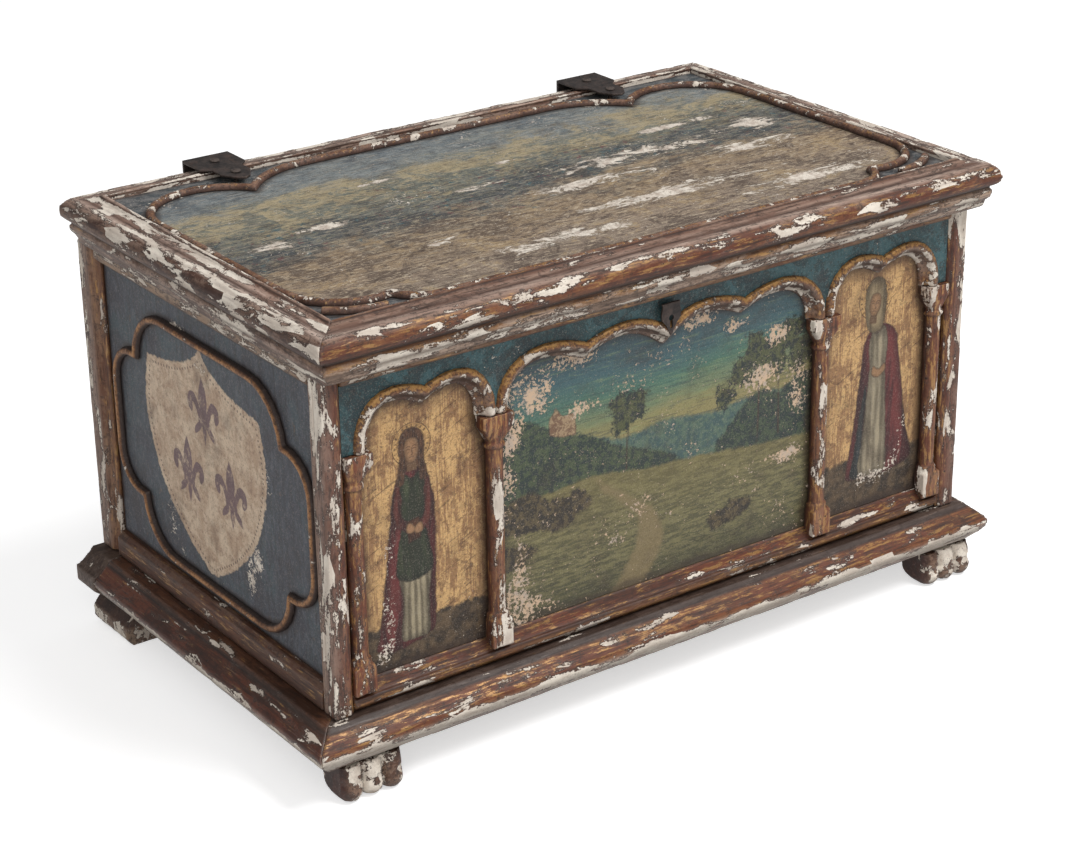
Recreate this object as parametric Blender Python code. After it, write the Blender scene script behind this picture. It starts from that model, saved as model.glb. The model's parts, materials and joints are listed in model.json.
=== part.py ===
"""Painted casket: a boarded case with applied frames, an arcaded front and cartouched ends, on a
moulded base with two carved paws in front and two blocks behind. The framed lid turns on two iron
strap hinges, and a sliding bolt behind the keyhole locks it. Metres, +Z up, front towards -Y,
origin on the floor under the middle."""

import math

import bmesh
import bpy
from mathutils import Vector

# Gap between pieces that touch
FIT = 0.0003

# Case of plain boards
BODY_WIDTH = 0.500
BODY_DEPTH = 0.300
BODY_HEIGHT = 0.218
BOARD_THICKNESS = 0.014
BOTTOM_THICKNESS = 0.012
FRONT_RECESS = 0.009
END_RECESS = 0.007

# Frame strips on the front and the ends
STILE_WIDTH = 0.014
STILE_CHAMFER = 0.003
TOP_RAIL_HEIGHT = 0.008
SILL_HEIGHT = 0.017
SILL_BEAD_RADIUS = 0.0036
SILL_SLOPE_FOOT = 0.0105
END_TOP_RAIL_HEIGHT = 0.010
END_BOTTOM_RAIL_HEIGHT = 0.017
END_FRONT_STRIP_WIDTH = 0.006
END_BACK_STILE_WIDTH = 0.022
END_COVE = 0.004

# Arcade on the front
MIDDLE_BAY_WIDTH = 0.258
OUTER_COLUMN_INSET = 0.0078
SPANDREL_RECESS = 0.003
ARCH_BAND = 0.010
ARCH_BEAD_PROUD = 0.0025
SPANDREL_TONGUE = 0.002
ARCH_SPRING_DROP = 0.052
ARCH_CROWN_DROP = 0.022
ARCH_STILT = 0.004
SIDE_SHOULDER = 0.022
MIDDLE_SHOULDER = 0.030
SIDE_CUSP_DEPTH = 0.006
MIDDLE_CUSP_DEPTH = 0.007
KEYHOLE_CUSP_DEPTH = 0.012
COLUMN_RADIUS = 0.0055
COLUMN_RING = 0.0070
COLUMN_PROUD = 0.001
PLINTH_HALF_WIDTH = 0.0074
PLINTH_HEIGHT = 0.013
ABACUS_HALF_WIDTH = 0.0112
ABACUS_HEIGHT = 0.007
BELL_HEIGHT = 0.011

# Cartouche bead on each end panel: a wide and a tall rounded rectangle laid over each other
CARTOUCHE_SIDE_MARGIN = 0.0095
CARTOUCHE_TOP_MARGIN = 0.0185
CARTOUCHE_BOTTOM_MARGIN = 0.0075
CARTOUCHE_STEP = 0.030
CARTOUCHE_WAIST = 0.098
CARTOUCHE_SIDE_RADIUS = 0.025
CARTOUCHE_TOP_RADIUS = 0.037
BEAD_WIDTH = 0.006
BEAD_HEIGHT = 0.0042

# Base and feet
FOOT_HEIGHT = 0.024
BASE_HEIGHT = 0.029
BASE_UNDERCUT = 0.0115
BASE_FRONT_OVERHANG = 0.016
BASE_END_OVERHANG = 0.021
BASE_BACK_OVERHANG = 0.0015
BASE_STRIP_WIDTH = 0.062
BASE_BACK_RAIL = 0.026
PAW_WIDTH = 0.0425
PAW_LENGTH = 0.027
PAW_TOES = 3
PAW_GROOVE = 0.0060
PAW_FRONT_INSET = 0.0035
LEFT_PAW_INSET = 0.019
RIGHT_PAW_INSET = 0.0095
BLOCK_WIDTH = 0.046
BLOCK_LENGTH = 0.048
BLOCK_SIDE_INSET = 0.008
BLOCK_BACK_INSET = 0.005
BLOCK_FLARE = 0.009

# Lid
LID_GAP = 0.0006
LID_HEIGHT = 0.033
LID_FRONT_OVERHANG = 0.020
LID_END_OVERHANG = 0.011
LID_BACK_OVERHANG = 0.001
LID_BORDER = 0.023
PICTURE_RECESS = 0.005
PICTURE_FRONT_CORNER_WIDTH = 0.050
PICTURE_FRONT_CORNER_SHARE = 0.76
PICTURE_FRONT_CUSP_RISE = 0.018
PICTURE_FRONT_LOBE_RADIUS = 0.024
PICTURE_BACK_CORNER_SHARE = 0.555
PICTURE_BACK_CUSP_DROP = 0.026
PICTURE_BACK_LOBE_RADIUS = 0.070
PICTURE_BACK_MARGIN = 0.034
CORNER_BEAD_STEP = 0.0125

# Hinges
HINGE_INSET = 0.098
HINGE_WIDTH = 0.034
HINGE_PLATE_LENGTH = 0.030
HINGE_TONGUE_WIDTH = 0.021
HINGE_TONGUE_LENGTH = 0.025
HINGE_LEAF_DROP = 0.040
IRON_THICKNESS = 0.0018
HINGE_AXIS_OUT = 0.0046
BARREL_RADIUS = 0.0036
LID_KNUCKLE = 0.012
PIN_RADIUS = 0.0016
PIN_CLEARANCE = 0.0001
PIN_END = 0.0012
SCREW_RADIUS = 0.0015
SCREW_HEAD_RADIUS = 0.0034
SCREW_HEAD_HEIGHT = 0.0014
SCREW_LENGTH = 0.010
SCREW_CLEARANCE = 0.0003
LID_OPENING_LEG_CLEARANCE = 0.0006

# Lock
KEYHOLE_DROP = 0.021
KEYHOLE_RADIUS = 0.0020
KEYHOLE_SLOT_WIDTH = 0.0022
KEYHOLE_SLOT_LENGTH = 0.0068
ESCUTCHEON_WIDTH = 0.015
ESCUTCHEON_HEIGHT = 0.022
ESCUTCHEON_THICKNESS = 0.0015
LOCK_PLATE_WIDTH = 0.070
LOCK_PLATE_HEIGHT = 0.034
LOCK_PLATE_THICKNESS = 0.002
BOLT_RISE = 0.009
BOLT_LENGTH = 0.048
BOLT_HEIGHT = 0.007
BOLT_THICKNESS = 0.004
BOLT_TRAVEL = 0.009
BOLT_CLEARANCE = 0.0004
COVER_LENGTH = 0.040
COVER_WALL = 0.0015
HOOK_WIDTH = 0.006
HOOK_THICKNESS = 0.0025
HOOK_CLEARANCE = 0.001
HOOK_PLATE_WIDTH = 0.026
HOOK_PLATE_LENGTH = 0.020
HOOK_PLATE_THICKNESS = 0.002

# Places that follow from the sizes
HALF_WIDTH = BODY_WIDTH / 2
Y_FRONT = (LID_FRONT_OVERHANG - BODY_DEPTH - HINGE_AXIS_OUT - BARREL_RADIUS) / 2
Y_BACK = Y_FRONT + BODY_DEPTH
Z_BASE = FOOT_HEIGHT + FIT
Z_BODY = Z_BASE + BASE_HEIGHT + FIT
Z_RIM = Z_BODY + BODY_HEIGHT
Z_LID = Z_RIM + LID_GAP
Z_LID_TOP = Z_LID + LID_HEIGHT
CASE_HALF_WIDTH = HALF_WIDTH - END_RECESS
Y_PANEL = Y_FRONT + FRONT_RECESS
Y_INSIDE = Y_PANEL + BOARD_THICKNESS
STILE_EDGE = HALF_WIDTH - STILE_WIDTH
OUTER_COLUMN_X = STILE_EDGE - OUTER_COLUMN_INSET
INNER_COLUMN_X = MIDDLE_BAY_WIDTH / 2
ARCH_SPRING_OFFSET = ARCH_BAND / 2 + FIT + SPANDREL_TONGUE / 2
LID_EDGES = (
    HALF_WIDTH + LID_END_OVERHANG,
    Y_FRONT - LID_FRONT_OVERHANG,
    Y_BACK + LID_BACK_OVERHANG,
)
Z_PICTURE = Z_LID_TOP - PICTURE_RECESS
HINGE_AXIS = Vector((0, Y_BACK + HINGE_AXIS_OUT, Z_RIM + LID_GAP / 2))
Z_KEYHOLE = Z_RIM - KEYHOLE_DROP
Z_BOLT = Z_KEYHOLE + BOLT_RISE
Y_LOCK = Y_INSIDE + FIT + LOCK_PLATE_THICKNESS
BOLT_REST = Vector(
    (
        (COVER_LENGTH - BOLT_LENGTH) / 2,
        Y_LOCK + BOLT_CLEARANCE + BOLT_THICKNESS / 2,
        Z_BOLT,
    )
)

# Finishes: colour, roughness, metallic
BARE_WOOD = ((0.19, 0.12, 0.075), 0.75, 0.0)
GILT_BOLE = ((0.26, 0.13, 0.06), 0.50, 0.1)
WORN_GESSO = ((0.52, 0.46, 0.38), 0.80, 0.0)
TEAL_PAINT = ((0.02, 0.06, 0.08), 0.55, 0.0)
SLATE_PAINT = ((0.07, 0.09, 0.10), 0.60, 0.0)
PICTURE_PAINT = ((0.14, 0.15, 0.12), 0.55, 0.0)
IRON = ((0.03, 0.026, 0.024), 0.55, 0.8)


def material(name, finish):
    colour, roughness, metallic = finish
    made = bpy.data.materials.new(name)
    made.use_nodes = True
    shader = made.node_tree.nodes["Principled BSDF"]
    shader.inputs["Base Color"].default_value = (*colour, 1)
    shader.inputs["Roughness"].default_value = roughness
    shader.inputs["Metallic"].default_value = metallic
    return made


def empty(name, place):
    made = bpy.data.objects.new(name, None)
    made.location = place
    bpy.context.collection.objects.link(made)
    return made


def add(name, mesh, finish, carrier):
    """Makes a named object of a bmesh that is in world places, and hangs it on its carrier empty."""
    corners = [Vector(corner(v.co[axis] for v in mesh.verts) for axis in range(3)) for corner in (min, max)]
    middle = (corners[0] + corners[1]) / 2
    bmesh.ops.translate(mesh, vec=-middle, verts=mesh.verts)
    data = bpy.data.meshes.new(name)
    mesh.to_mesh(data)
    mesh.free()
    data.shade_smooth()
    data.set_sharp_from_angle(angle=math.radians(35))
    data.materials.append(material(name, finish))
    made = bpy.data.objects.new(name, data)
    bpy.context.collection.objects.link(made)
    made.parent = carrier
    made.location = middle - carrier.location
    return made


def cutter(name, mesh, carrier):
    made = add(name, mesh, IRON, carrier)
    made.hide_render = True
    made.display_type = "WIRE"
    return made


def combine(piece, other, operation):
    change = piece.modifiers.new(f"{operation.lower()} {other.name}", "BOOLEAN")
    change.operation = operation
    change.solver = "EXACT"
    change.object = other


def loft(sections, closed=False):
    """Skin over loops of equally many points, capped at both ends unless the run closes on itself."""
    mesh = bmesh.new()
    rings = [[mesh.verts.new(point) for point in section] for section in sections]
    count = len(rings[0])
    pairs = list(zip(rings, rings[1:]))
    if closed:
        pairs.append((rings[-1], rings[0]))
    else:
        mesh.faces.new(rings[0])
        mesh.faces.new(rings[-1])
    for near, far in pairs:
        for i in range(count):
            j = (i + 1) % count
            mesh.faces.new((near[i], near[j], far[j], far[i]))
    bmesh.ops.recalc_face_normals(mesh, faces=mesh.faces)
    return mesh


def along_x(outline, start, end):
    return loft([[(x, y, z) for y, z in outline] for x in (start, end)])


def along_y(outline, start, end):
    return loft([[(x, y, z) for x, z in outline] for y in (start, end)])


def along_z(outline, start, end):
    return loft([[(x, y, z) for x, y in outline] for z in (start, end)])


def box(low, high):
    outline = [(low[0], low[1]), (high[0], low[1]), (high[0], high[1]), (low[0], high[1])]
    return along_z(outline, low[2], high[2])


def arc(centre, radius, start, end, steps):
    """Points on a circle between two angles in degrees, both ends included."""
    angles = [math.radians(start + (end - start) * i / steps) for i in range(steps + 1)]
    return [(centre[0] + radius * math.cos(a), centre[1] + radius * math.sin(a)) for a in angles]


def arc_between(centre, first, last, steps):
    """The shorter arc about a centre from one point on it to another."""
    start = math.degrees(math.atan2(first[1] - centre[1], first[0] - centre[0]))
    turn = math.degrees(math.atan2(last[1] - centre[1], last[0] - centre[0])) - start
    turn = (turn + 180) % 360 - 180
    return arc(centre, math.dist(centre, first), start, start + turn, steps)


def mitred_normals(path, closed):
    """For each point of a plane path, the sideways step to a parallel line one unit to its left."""
    count = len(path)
    steps = []
    for i, point in enumerate(path):
        before = path[i - 1] if closed or i else None
        after = path[(i + 1) % count] if closed or i < count - 1 else None
        ways = []
        for first, last in ((before, point), (point, after)):
            if first and last:
                way = Vector(last) - Vector(first)
                ways.append(Vector((-way.y, way.x)).normalized())
        middle = sum(ways, Vector((0, 0))).normalized()
        steps.append(middle / middle.dot(ways[0]))
    return steps


def parallel(path, distance, closed=False):
    return [tuple(Vector(p) + distance * n) for p, n in zip(path, mitred_normals(path, closed))]


def bead_profile(width, height, steps=8):
    """Half-round bead as (sideways, outwards) points, flat on its seat."""
    angles = [math.pi * i / steps for i in range(steps + 1)]
    return [(width / 2 * math.cos(a), height * math.sin(a)) for a in angles]


def sweep(path, profile, place, closed=False):
    """Carries a (sideways, outwards) profile along a plane path.
    place turns (u, v, out) into a world point."""
    normals = mitred_normals(path, closed)
    sections = []
    for point, normal in zip(path, normals):
        lines = [Vector(point) + side * normal for side, _ in profile]
        sections.append([place(line.x, line.y, out) for line, (_, out) in zip(lines, profile)])
    return loft(sections, closed)


def disc(place, radius, start, end, axis, sides=14):
    """Round bar along one axis, through the two other coordinates in place."""
    ring = arc((0, 0), radius, 0, 360 - 360 / sides, sides - 1)
    sections = []
    for end_place in (start, end):
        section = []
        for u, v in ring:
            point = [place[0] + u, place[1] + v]
            point.insert(axis, end_place)
            section.append(point)
        sections.append(section)
    return loft(sections)


def make_carcass(case):
    inner = CASE_HALF_WIDTH - BOARD_THICKNESS
    back_inside = Y_BACK - BOARD_THICKNESS
    front = add(
        "front_board",
        box((-CASE_HALF_WIDTH, Y_PANEL, Z_BODY), (CASE_HALF_WIDTH, Y_INSIDE, Z_RIM)),
        PICTURE_PAINT,
        case,
    )
    back = add(
        "back_board",
        box((-CASE_HALF_WIDTH, back_inside, Z_BODY), (CASE_HALF_WIDTH, Y_BACK, Z_RIM)),
        BARE_WOOD,
        case,
    )
    for name, sign in (("left", -1), ("right", 1)):
        sides = sorted((sign * CASE_HALF_WIDTH, sign * inner))
        low = (sides[0], Y_INSIDE + FIT, Z_BODY)
        high = (sides[1], back_inside - FIT, Z_RIM)
        add(f"{name}_end_board", box(low, high), SLATE_PAINT, case)
    low = (FIT - inner, Y_INSIDE + FIT, Z_BODY)
    high = (inner - FIT, back_inside - FIT, Z_BODY + BOTTOM_THICKNESS)
    add("bottom_board", box(low, high), BARE_WOOD, case)
    return front, back


def make_front_frame(case):
    back = Y_PANEL - FIT
    for name, sign in (("left", -1), ("right", 1)):
        outline = [
            (sign * HALF_WIDTH, Y_FRONT),
            (sign * (STILE_EDGE + STILE_CHAMFER), Y_FRONT),
            (sign * STILE_EDGE, Y_FRONT + STILE_CHAMFER),
            (sign * STILE_EDGE, back),
            (sign * HALF_WIDTH, back),
        ]
        add(f"front_{name}_stile", along_z(outline, Z_BODY, Z_RIM), WORN_GESSO, case)
    edge = STILE_EDGE - FIT
    low = Z_RIM - TOP_RAIL_HEIGHT
    outline = [
        (Y_FRONT, Z_RIM),
        (Y_FRONT, low + STILE_CHAMFER / 2),
        (Y_FRONT + STILE_CHAMFER / 2, low),
        (back, low),
        (back, Z_RIM),
    ]
    add("front_top_rail", along_x(outline, -edge, edge), WORN_GESSO, case)
    bead = (Y_FRONT + SILL_BEAD_RADIUS, Z_BODY + 1.5 * SILL_BEAD_RADIUS)
    outline = [(back, Z_BODY), (bead[0], Z_BODY)]
    outline += arc(bead, SILL_BEAD_RADIUS, -90, -270, 8)
    outline += [(Y_FRONT + FRONT_RECESS / 2, Z_BODY + SILL_SLOPE_FOOT), (back, Z_BODY + SILL_HEIGHT)]
    add("front_sill", along_x(outline, -edge, edge), GILT_BOLE, case)


def arch_path(left, right, shoulder, cusps):
    """Line of a lobed arch from its left to its right spring.
    cusps gives how deep each cusp between the lobes hangs."""
    shoulder_steps, half_lobe_steps = 6, 4
    spring, crown = Z_RIM - ARCH_SPRING_DROP, Z_RIM - ARCH_CROWN_DROP
    pitch = (right - left - 2 * shoulder) / len(cusps)
    stilt = spring + ARCH_STILT
    quarter = [math.pi / 2 * i / shoulder_steps for i in range(shoulder_steps)]
    rising = [(0.0, spring)]
    rising += [(shoulder * (1 - math.cos(a)), stilt + (crown - stilt) * math.sin(a)) for a in quarter]
    path = [(left + run, z) for run, z in rising]
    for number, depth in enumerate(cusps):
        for i in range(2 * half_lobe_steps):
            share = i / half_lobe_steps
            reach = min(share, 2 - share)
            path.append((left + shoulder + pitch * (number + share / 2), crown - depth * reach**2))
    path.append((right - shoulder, crown))
    return path + [(right - run, z) for run, z in reversed(rising)]


def arcade_paths():
    """Each arch's name and line, from left to right."""
    outer = OUTER_COLUMN_X - ARCH_SPRING_OFFSET
    inner = INNER_COLUMN_X + ARCH_SPRING_OFFSET
    middle = INNER_COLUMN_X - ARCH_SPRING_OFFSET
    cusps = (MIDDLE_CUSP_DEPTH, KEYHOLE_CUSP_DEPTH, MIDDLE_CUSP_DEPTH)
    return {
        "left_arch": arch_path(-outer, -inner, SIDE_SHOULDER, (SIDE_CUSP_DEPTH,)),
        "middle_arch": arch_path(-middle, middle, MIDDLE_SHOULDER, cusps),
        "right_arch": arch_path(inner, outer, SIDE_SHOULDER, (SIDE_CUSP_DEPTH,)),
    }


def make_arcade(case):
    paths = arcade_paths()
    edge, top, back = STILE_EDGE - FIT, Z_RIM - TOP_RAIL_HEIGHT - FIT, Y_PANEL - FIT
    spring = Z_RIM - ARCH_SPRING_DROP
    outline = [(edge, spring), (edge, top), (-edge, top), (-edge, spring)]
    for path in paths.values():
        outline += parallel(path, ARCH_BAND / 2 + FIT)
    spandrel = add(
        "spandrel_panel", along_y(outline, Y_FRONT + SPANDREL_RECESS, back), TEAL_PAINT, case
    )
    crest = FRONT_RECESS - SPANDREL_RECESS + ARCH_BEAD_PROUD - FIT
    profile = [
        (ARCH_BAND / 2, 0),
        (ARCH_BAND / 2, crest - 0.30 * ARCH_BAND),
        (0.42 * ARCH_BAND, crest - 0.10 * ARCH_BAND),
        (0.24 * ARCH_BAND, crest),
        (0.04 * ARCH_BAND, crest - 0.10 * ARCH_BAND),
        (-0.06 * ARCH_BAND, crest - 0.32 * ARCH_BAND),
        (-0.24 * ARCH_BAND, 0.30 * crest),
        (-ARCH_BAND / 2, 0.14 * crest),
        (-ARCH_BAND / 2, 0),
    ]
    for name, path in paths.items():
        mesh = sweep(path, profile, lambda u, v, out: (u, back - out, v))
        add(f"{name}_moulding", mesh, GILT_BOLE, case)
    return spandrel


def make_colonnettes(case):
    """Engaged columns, flat where they meet the board: plinth on the sloping sill, shaft and capital."""
    back, sides = Y_PANEL - FIT, 16
    axis_y = Y_FRONT - COLUMN_PROUD + COLUMN_RING
    slope_foot = Y_FRONT + FRONT_RECESS / 2
    slope = (SILL_HEIGHT - SILL_SLOPE_FOOT) / (back - slope_foot)
    plinth_low = Z_BODY + SILL_HEIGHT + 2 * FIT
    plinth_top = Z_BODY + SILL_HEIGHT + PLINTH_HEIGHT
    spring = Z_RIM - ARCH_SPRING_DROP - FIT
    neck = spring - ABACUS_HEIGHT - BELL_HEIGHT
    ring = COLUMN_RING - COLUMN_RADIUS
    turned = [
        (plinth_top, COLUMN_RING),
        (plinth_top + 2 * ring, COLUMN_RING),
        (plinth_top + 3 * ring, COLUMN_RADIUS),
        (neck - 3 * ring, COLUMN_RADIUS),
        (neck - 2 * ring, COLUMN_RING),
        (neck - ring, COLUMN_RING),
        (neck, COLUMN_RADIUS),
    ]

    def square(half_left, half_right, height):
        points = []
        for i in range(sides):
            a = 2 * math.pi * i / sides
            reach = 1 / max(abs(math.cos(a)), abs(math.sin(a)))
            half = half_right if math.cos(a) > 0 else half_left
            y = min(axis_y + COLUMN_RING * reach * math.sin(a), back)
            points.append((half * reach * math.cos(a), y, height(y)))
        return points

    def round_section(z, radius):
        angles = [2 * math.pi * i / sides for i in range(sides)]
        return [
            (radius * math.cos(a), min(axis_y + radius * math.sin(a), back), z) for a in angles
        ]

    places = (-OUTER_COLUMN_X, -INNER_COLUMN_X, INNER_COLUMN_X, OUTER_COLUMN_X)
    for number, x in enumerate(places, 1):
        to_stile = OUTER_COLUMN_INSET - FIT
        left = min(to_stile, ABACUS_HALF_WIDTH) if number == 1 else ABACUS_HALF_WIDTH
        right = min(to_stile, ABACUS_HALF_WIDTH) if number == 4 else ABACUS_HALF_WIDTH
        foot = min(PLINTH_HALF_WIDTH, to_stile)
        sections = [
            square(foot, foot, lambda y: plinth_low - slope * (back - max(y, slope_foot))),
            square(foot, foot, lambda y: plinth_top - ring),
        ]
        sections += [round_section(z, radius) for z, radius in turned]
        sections += [
            square(left, right, lambda y: spring - ABACUS_HEIGHT),
            square(left, right, lambda y: spring),
        ]
        placed = [[(x + u, y, z) for u, y, z in section] for section in sections]
        add(f"colonnette_{number}", loft(placed), GILT_BOLE, case)


def make_end_frame(case, name, sign):
    """Strips round one end panel, coved towards it, and the cartouche bead on the panel."""
    face, seat = sign * HALF_WIDTH, sign * (CASE_HALF_WIDTH + FIT)
    cove_face = sign * (HALF_WIDTH - END_COVE)
    front, back = Y_PANEL, Y_BACK
    inner_front = front + END_FRONT_STRIP_WIDTH
    inner_back = back - END_BACK_STILE_WIDTH
    top = Z_RIM - END_TOP_RAIL_HEIGHT
    bottom = Z_BODY + END_BOTTOM_RAIL_HEIGHT

    outline = [
        (seat, front),
        (face, front),
        (face, inner_front - END_COVE / 2),
        (cove_face, inner_front),
        (seat, inner_front),
    ]
    add(f"{name}_end_front_strip", along_z(outline, Z_BODY, Z_RIM), WORN_GESSO, case)
    outline = [
        (seat, back),
        (face, back),
        (face, inner_back + 2 * END_COVE),
        (cove_face, inner_back + END_COVE),
        (cove_face, inner_back),
        (seat, inner_back),
    ]
    add(f"{name}_end_back_stile", along_z(outline, Z_BODY, Z_RIM), WORN_GESSO, case)
    span = (inner_front + FIT, inner_back - FIT)
    outline = [(seat, Z_RIM), (face, Z_RIM), (face, top + END_COVE), (cove_face, top), (seat, top)]
    add(f"{name}_end_top_rail", along_y(outline, *span), GILT_BOLE, case)
    outline = [
        (seat, Z_BODY),
        (face, Z_BODY),
        (face, bottom - END_COVE),
        (cove_face, bottom),
        (seat, bottom),
    ]
    add(f"{name}_end_bottom_rail", along_y(outline, *span), GILT_BOLE, case)

    low, high = bottom + CARTOUCHE_BOTTOM_MARGIN, top - CARTOUCHE_TOP_MARGIN
    middle = ((inner_front + inner_back) / 2, (low + high) / 2)
    mesh = sweep(
        cartouche_path(inner_back - inner_front - 2 * CARTOUCHE_SIDE_MARGIN, high - low),
        bead_profile(BEAD_WIDTH, BEAD_HEIGHT),
        lambda u, v, out: (seat + sign * out, middle[0] + u, middle[1] + v),
        closed=True,
    )
    add(f"{name}_cartouche_bead", mesh, GILT_BOLE, case)


def cartouche_path(width, height):
    """Closed outline of the two rounded rectangles together, about its own centre, anticlockwise."""
    side_centre = (width / 2 - CARTOUCHE_SIDE_RADIUS, CARTOUCHE_WAIST / 2 - CARTOUCHE_SIDE_RADIUS)
    top_centre = (width / 2 - CARTOUCHE_STEP - CARTOUCHE_TOP_RADIUS, height / 2 - CARTOUCHE_TOP_RADIUS)
    notch = math.degrees(math.asin((CARTOUCHE_WAIST / 2 - top_centre[1]) / CARTOUCHE_TOP_RADIUS))
    quarter = arc(side_centre, CARTOUCHE_SIDE_RADIUS, 0, 80, 5)
    quarter += arc(top_centre, CARTOUCHE_TOP_RADIUS, notch, 90, 6)
    path = list(quarter)
    path += [(-u, v) for u, v in reversed(quarter)]
    path += [(-u, -v) for u, v in quarter]
    path += [(u, -v) for u, v in reversed(quarter)]
    return path


def mitred_side(side, edges, profile, low, end_y=None):
    """One side of a frame, mitred to the next sides, from a profile of (inwards, upwards) points.
    edges holds the half width, front and back of the outer edge; end_y ends a side square."""
    half, front, back = edges
    gap = FIT / 2
    sections = []
    if side in ("front", "back"):
        start, way = (front, 1) if side == "front" else (back, -1)
        for sign in (-1, 1):
            sections.append([(sign * (half - w - gap), start + way * w, low + h) for w, h in profile])
    else:
        sign = -1 if side == "left" else 1
        sections.append([(sign * (half - w), front + w + gap, low + h) for w, h in profile])
        for_back = [end_y if end_y is not None else back - w - gap for w, _ in profile]
        sections.append([(sign * (half - w), y, low + h) for (w, h), y in zip(profile, for_back)])
    return loft(sections)


def base_profile(lower_edge):
    """Swelling slope, fillet and hollow from a lower edge up to the case, as (inwards, upwards)."""
    h = BASE_HEIGHT
    slope = [
        (0.0036, 0.69 * h),
        (0.0062, 0.77 * h),
        (0.0085, 0.83 * h),
        (0.0098, 0.88 * h),
        (0.0112, 0.90 * h),
        (0.0122, 0.96 * h),
        (0.0136, h),
    ]
    return lower_edge + slope + [(BASE_STRIP_WIDTH, h), (BASE_STRIP_WIDTH, 0.0)]


def round_edge():
    """Nose of the base over a curved undercut."""
    w, h = BASE_UNDERCUT, BASE_HEIGHT
    shares = ((1.0, 0.0), (0.73, 0.09), (0.44, 0.21), (0.20, 0.32), (0.05, 0.43), (0.0, 0.51), (0.02, 0.56))
    return [(across * w, up * h) for across, up in shares] + [(0.0014, 0.62 * h)]


def blunt_edge():
    """Sawn end of the rail behind the mouldings, undercut like them."""
    h = BASE_HEIGHT
    return [(BASE_UNDERCUT, 0.0), (0.0, 0.29 * h), (0.0, 0.63 * h)]


def make_base(case):
    edges = (
        HALF_WIDTH + BASE_END_OVERHANG,
        Y_FRONT - BASE_FRONT_OVERHANG,
        Y_BACK + BASE_BACK_OVERHANG,
    )
    profile = base_profile(round_edge())
    rail_front = edges[2] - BASE_BACK_RAIL
    add("base_front_moulding", mitred_side("front", edges, profile, Z_BASE), GILT_BOLE, case)
    for side in ("left", "right"):
        mesh = mitred_side(side, edges, profile, Z_BASE, rail_front - FIT)
        add(f"base_{side}_moulding", mesh, GILT_BOLE, case)
    half = [(edges[0] - w, Z_BASE + h) for w, h in base_profile(blunt_edge())[:-2]]
    outline = half + [(-x, z) for x, z in reversed(half)]
    add("base_back_rail", along_y(outline, rail_front, edges[2]), BARE_WOOD, case)
    return edges


def paw_section(across):
    """Closed loop of (back from the toe tips, up) through a paw, at -1 to 1 across it. Toes swell between
    grooves in front and below, and the heel rounds up to the base."""
    swell = math.sqrt(abs(math.sin(math.pi * PAW_TOES * (across + 1) / 2)))
    dent = PAW_GROOVE * (1 - swell)
    length, height = PAW_LENGTH, FOOT_HEIGHT
    toes = [
        (0.20, 1.00, 0.5),
        (0.09, 0.84, 0.9),
        (0.05, 0.66, 1.0),
        (0.07, 0.50, 1.1),
        (0.00, 0.34, 1.1),
        (0.03, 0.20, 1.0),
        (0.11, 0.08, 0.8),
        (0.21, 0.02, 0.6),
        (0.32, 0.00, 0.4),
    ]
    loop = [(back * length + pull * dent, up * height + (1 - up) * 0.6 * dent) for back, up, pull in toes]
    heel = [(0.44, 0.00), (0.70, 0.01), (0.86, 0.07), (0.96, 0.18), (1.00, 0.36), (1.00, 1.00)]
    return loop + [(back * length, up * height + (1 - up) * 0.6 * dent) for back, up in heel]


def make_feet(case, edges):
    half, front, back = edges
    stations = [i / (3 * PAW_TOES) - 1 for i in range(6 * PAW_TOES + 1)]
    for name, sign, inset in (("left", -1, LEFT_PAW_INSET), ("right", 1, RIGHT_PAW_INSET)):
        x = sign * (half - inset - PAW_WIDTH / 2)
        toe = front + PAW_FRONT_INSET
        sections = []
        for across in stations:
            place = x + across * PAW_WIDTH / 2
            sections.append([(place, toe + along, up) for along, up in paw_section(across)])
        add(f"front_{name}_paw", loft(sections), WORN_GESSO, case)
        side = half - BLOCK_SIDE_INSET
        outline = [
            (sign * (side - BLOCK_FLARE / 2), 0),
            (sign * side, 0.20 * FOOT_HEIGHT),
            (sign * side, 0.52 * FOOT_HEIGHT),
            (sign * (side - BLOCK_FLARE), FOOT_HEIGHT),
            (sign * (side - BLOCK_WIDTH), FOOT_HEIGHT),
            (sign * (side - BLOCK_WIDTH), 0),
        ]
        rear = back - BLOCK_BACK_INSET
        add(f"back_{name}_foot", along_y(outline, rear - BLOCK_LENGTH, rear), WORN_GESSO, case)


def lid_profile():
    """Underside, lower bead, quirk, nose, small ridge and rising border, as (inwards, upwards)."""
    h = LID_HEIGHT
    return [
        (LID_BORDER, 0.0),
        (0.0085, 0.0),
        (0.0075, 0.15 * h),
        (0.0052, 0.22 * h),
        (0.0044, 0.30 * h),
        (0.0050, 0.38 * h),
        (0.0064, 0.42 * h),
        (0.0062, 0.45 * h),
        (0.0030, 0.47 * h),
        (0.0009, 0.53 * h),
        (0.0, 0.63 * h),
        (0.0008, 0.74 * h),
        (0.0030, 0.83 * h),
        (0.0055, 0.87 * h),
        (0.0066, 0.91 * h),
        (0.0078, 0.92 * h),
        (0.0090, 0.89 * h),
        (LID_BORDER - 0.0035, 0.955 * h),
        (LID_BORDER - 0.0025, 0.99 * h),
        (LID_BORDER - 0.0012, h),
        (LID_BORDER, 0.97 * h),
    ]


def picture_sides():
    """Half width and front of the line of the bead round the lid's picture."""
    inset = LID_BORDER + FIT + BEAD_WIDTH / 2
    return LID_EDGES[0] - inset, LID_EDGES[1] + inset


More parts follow.
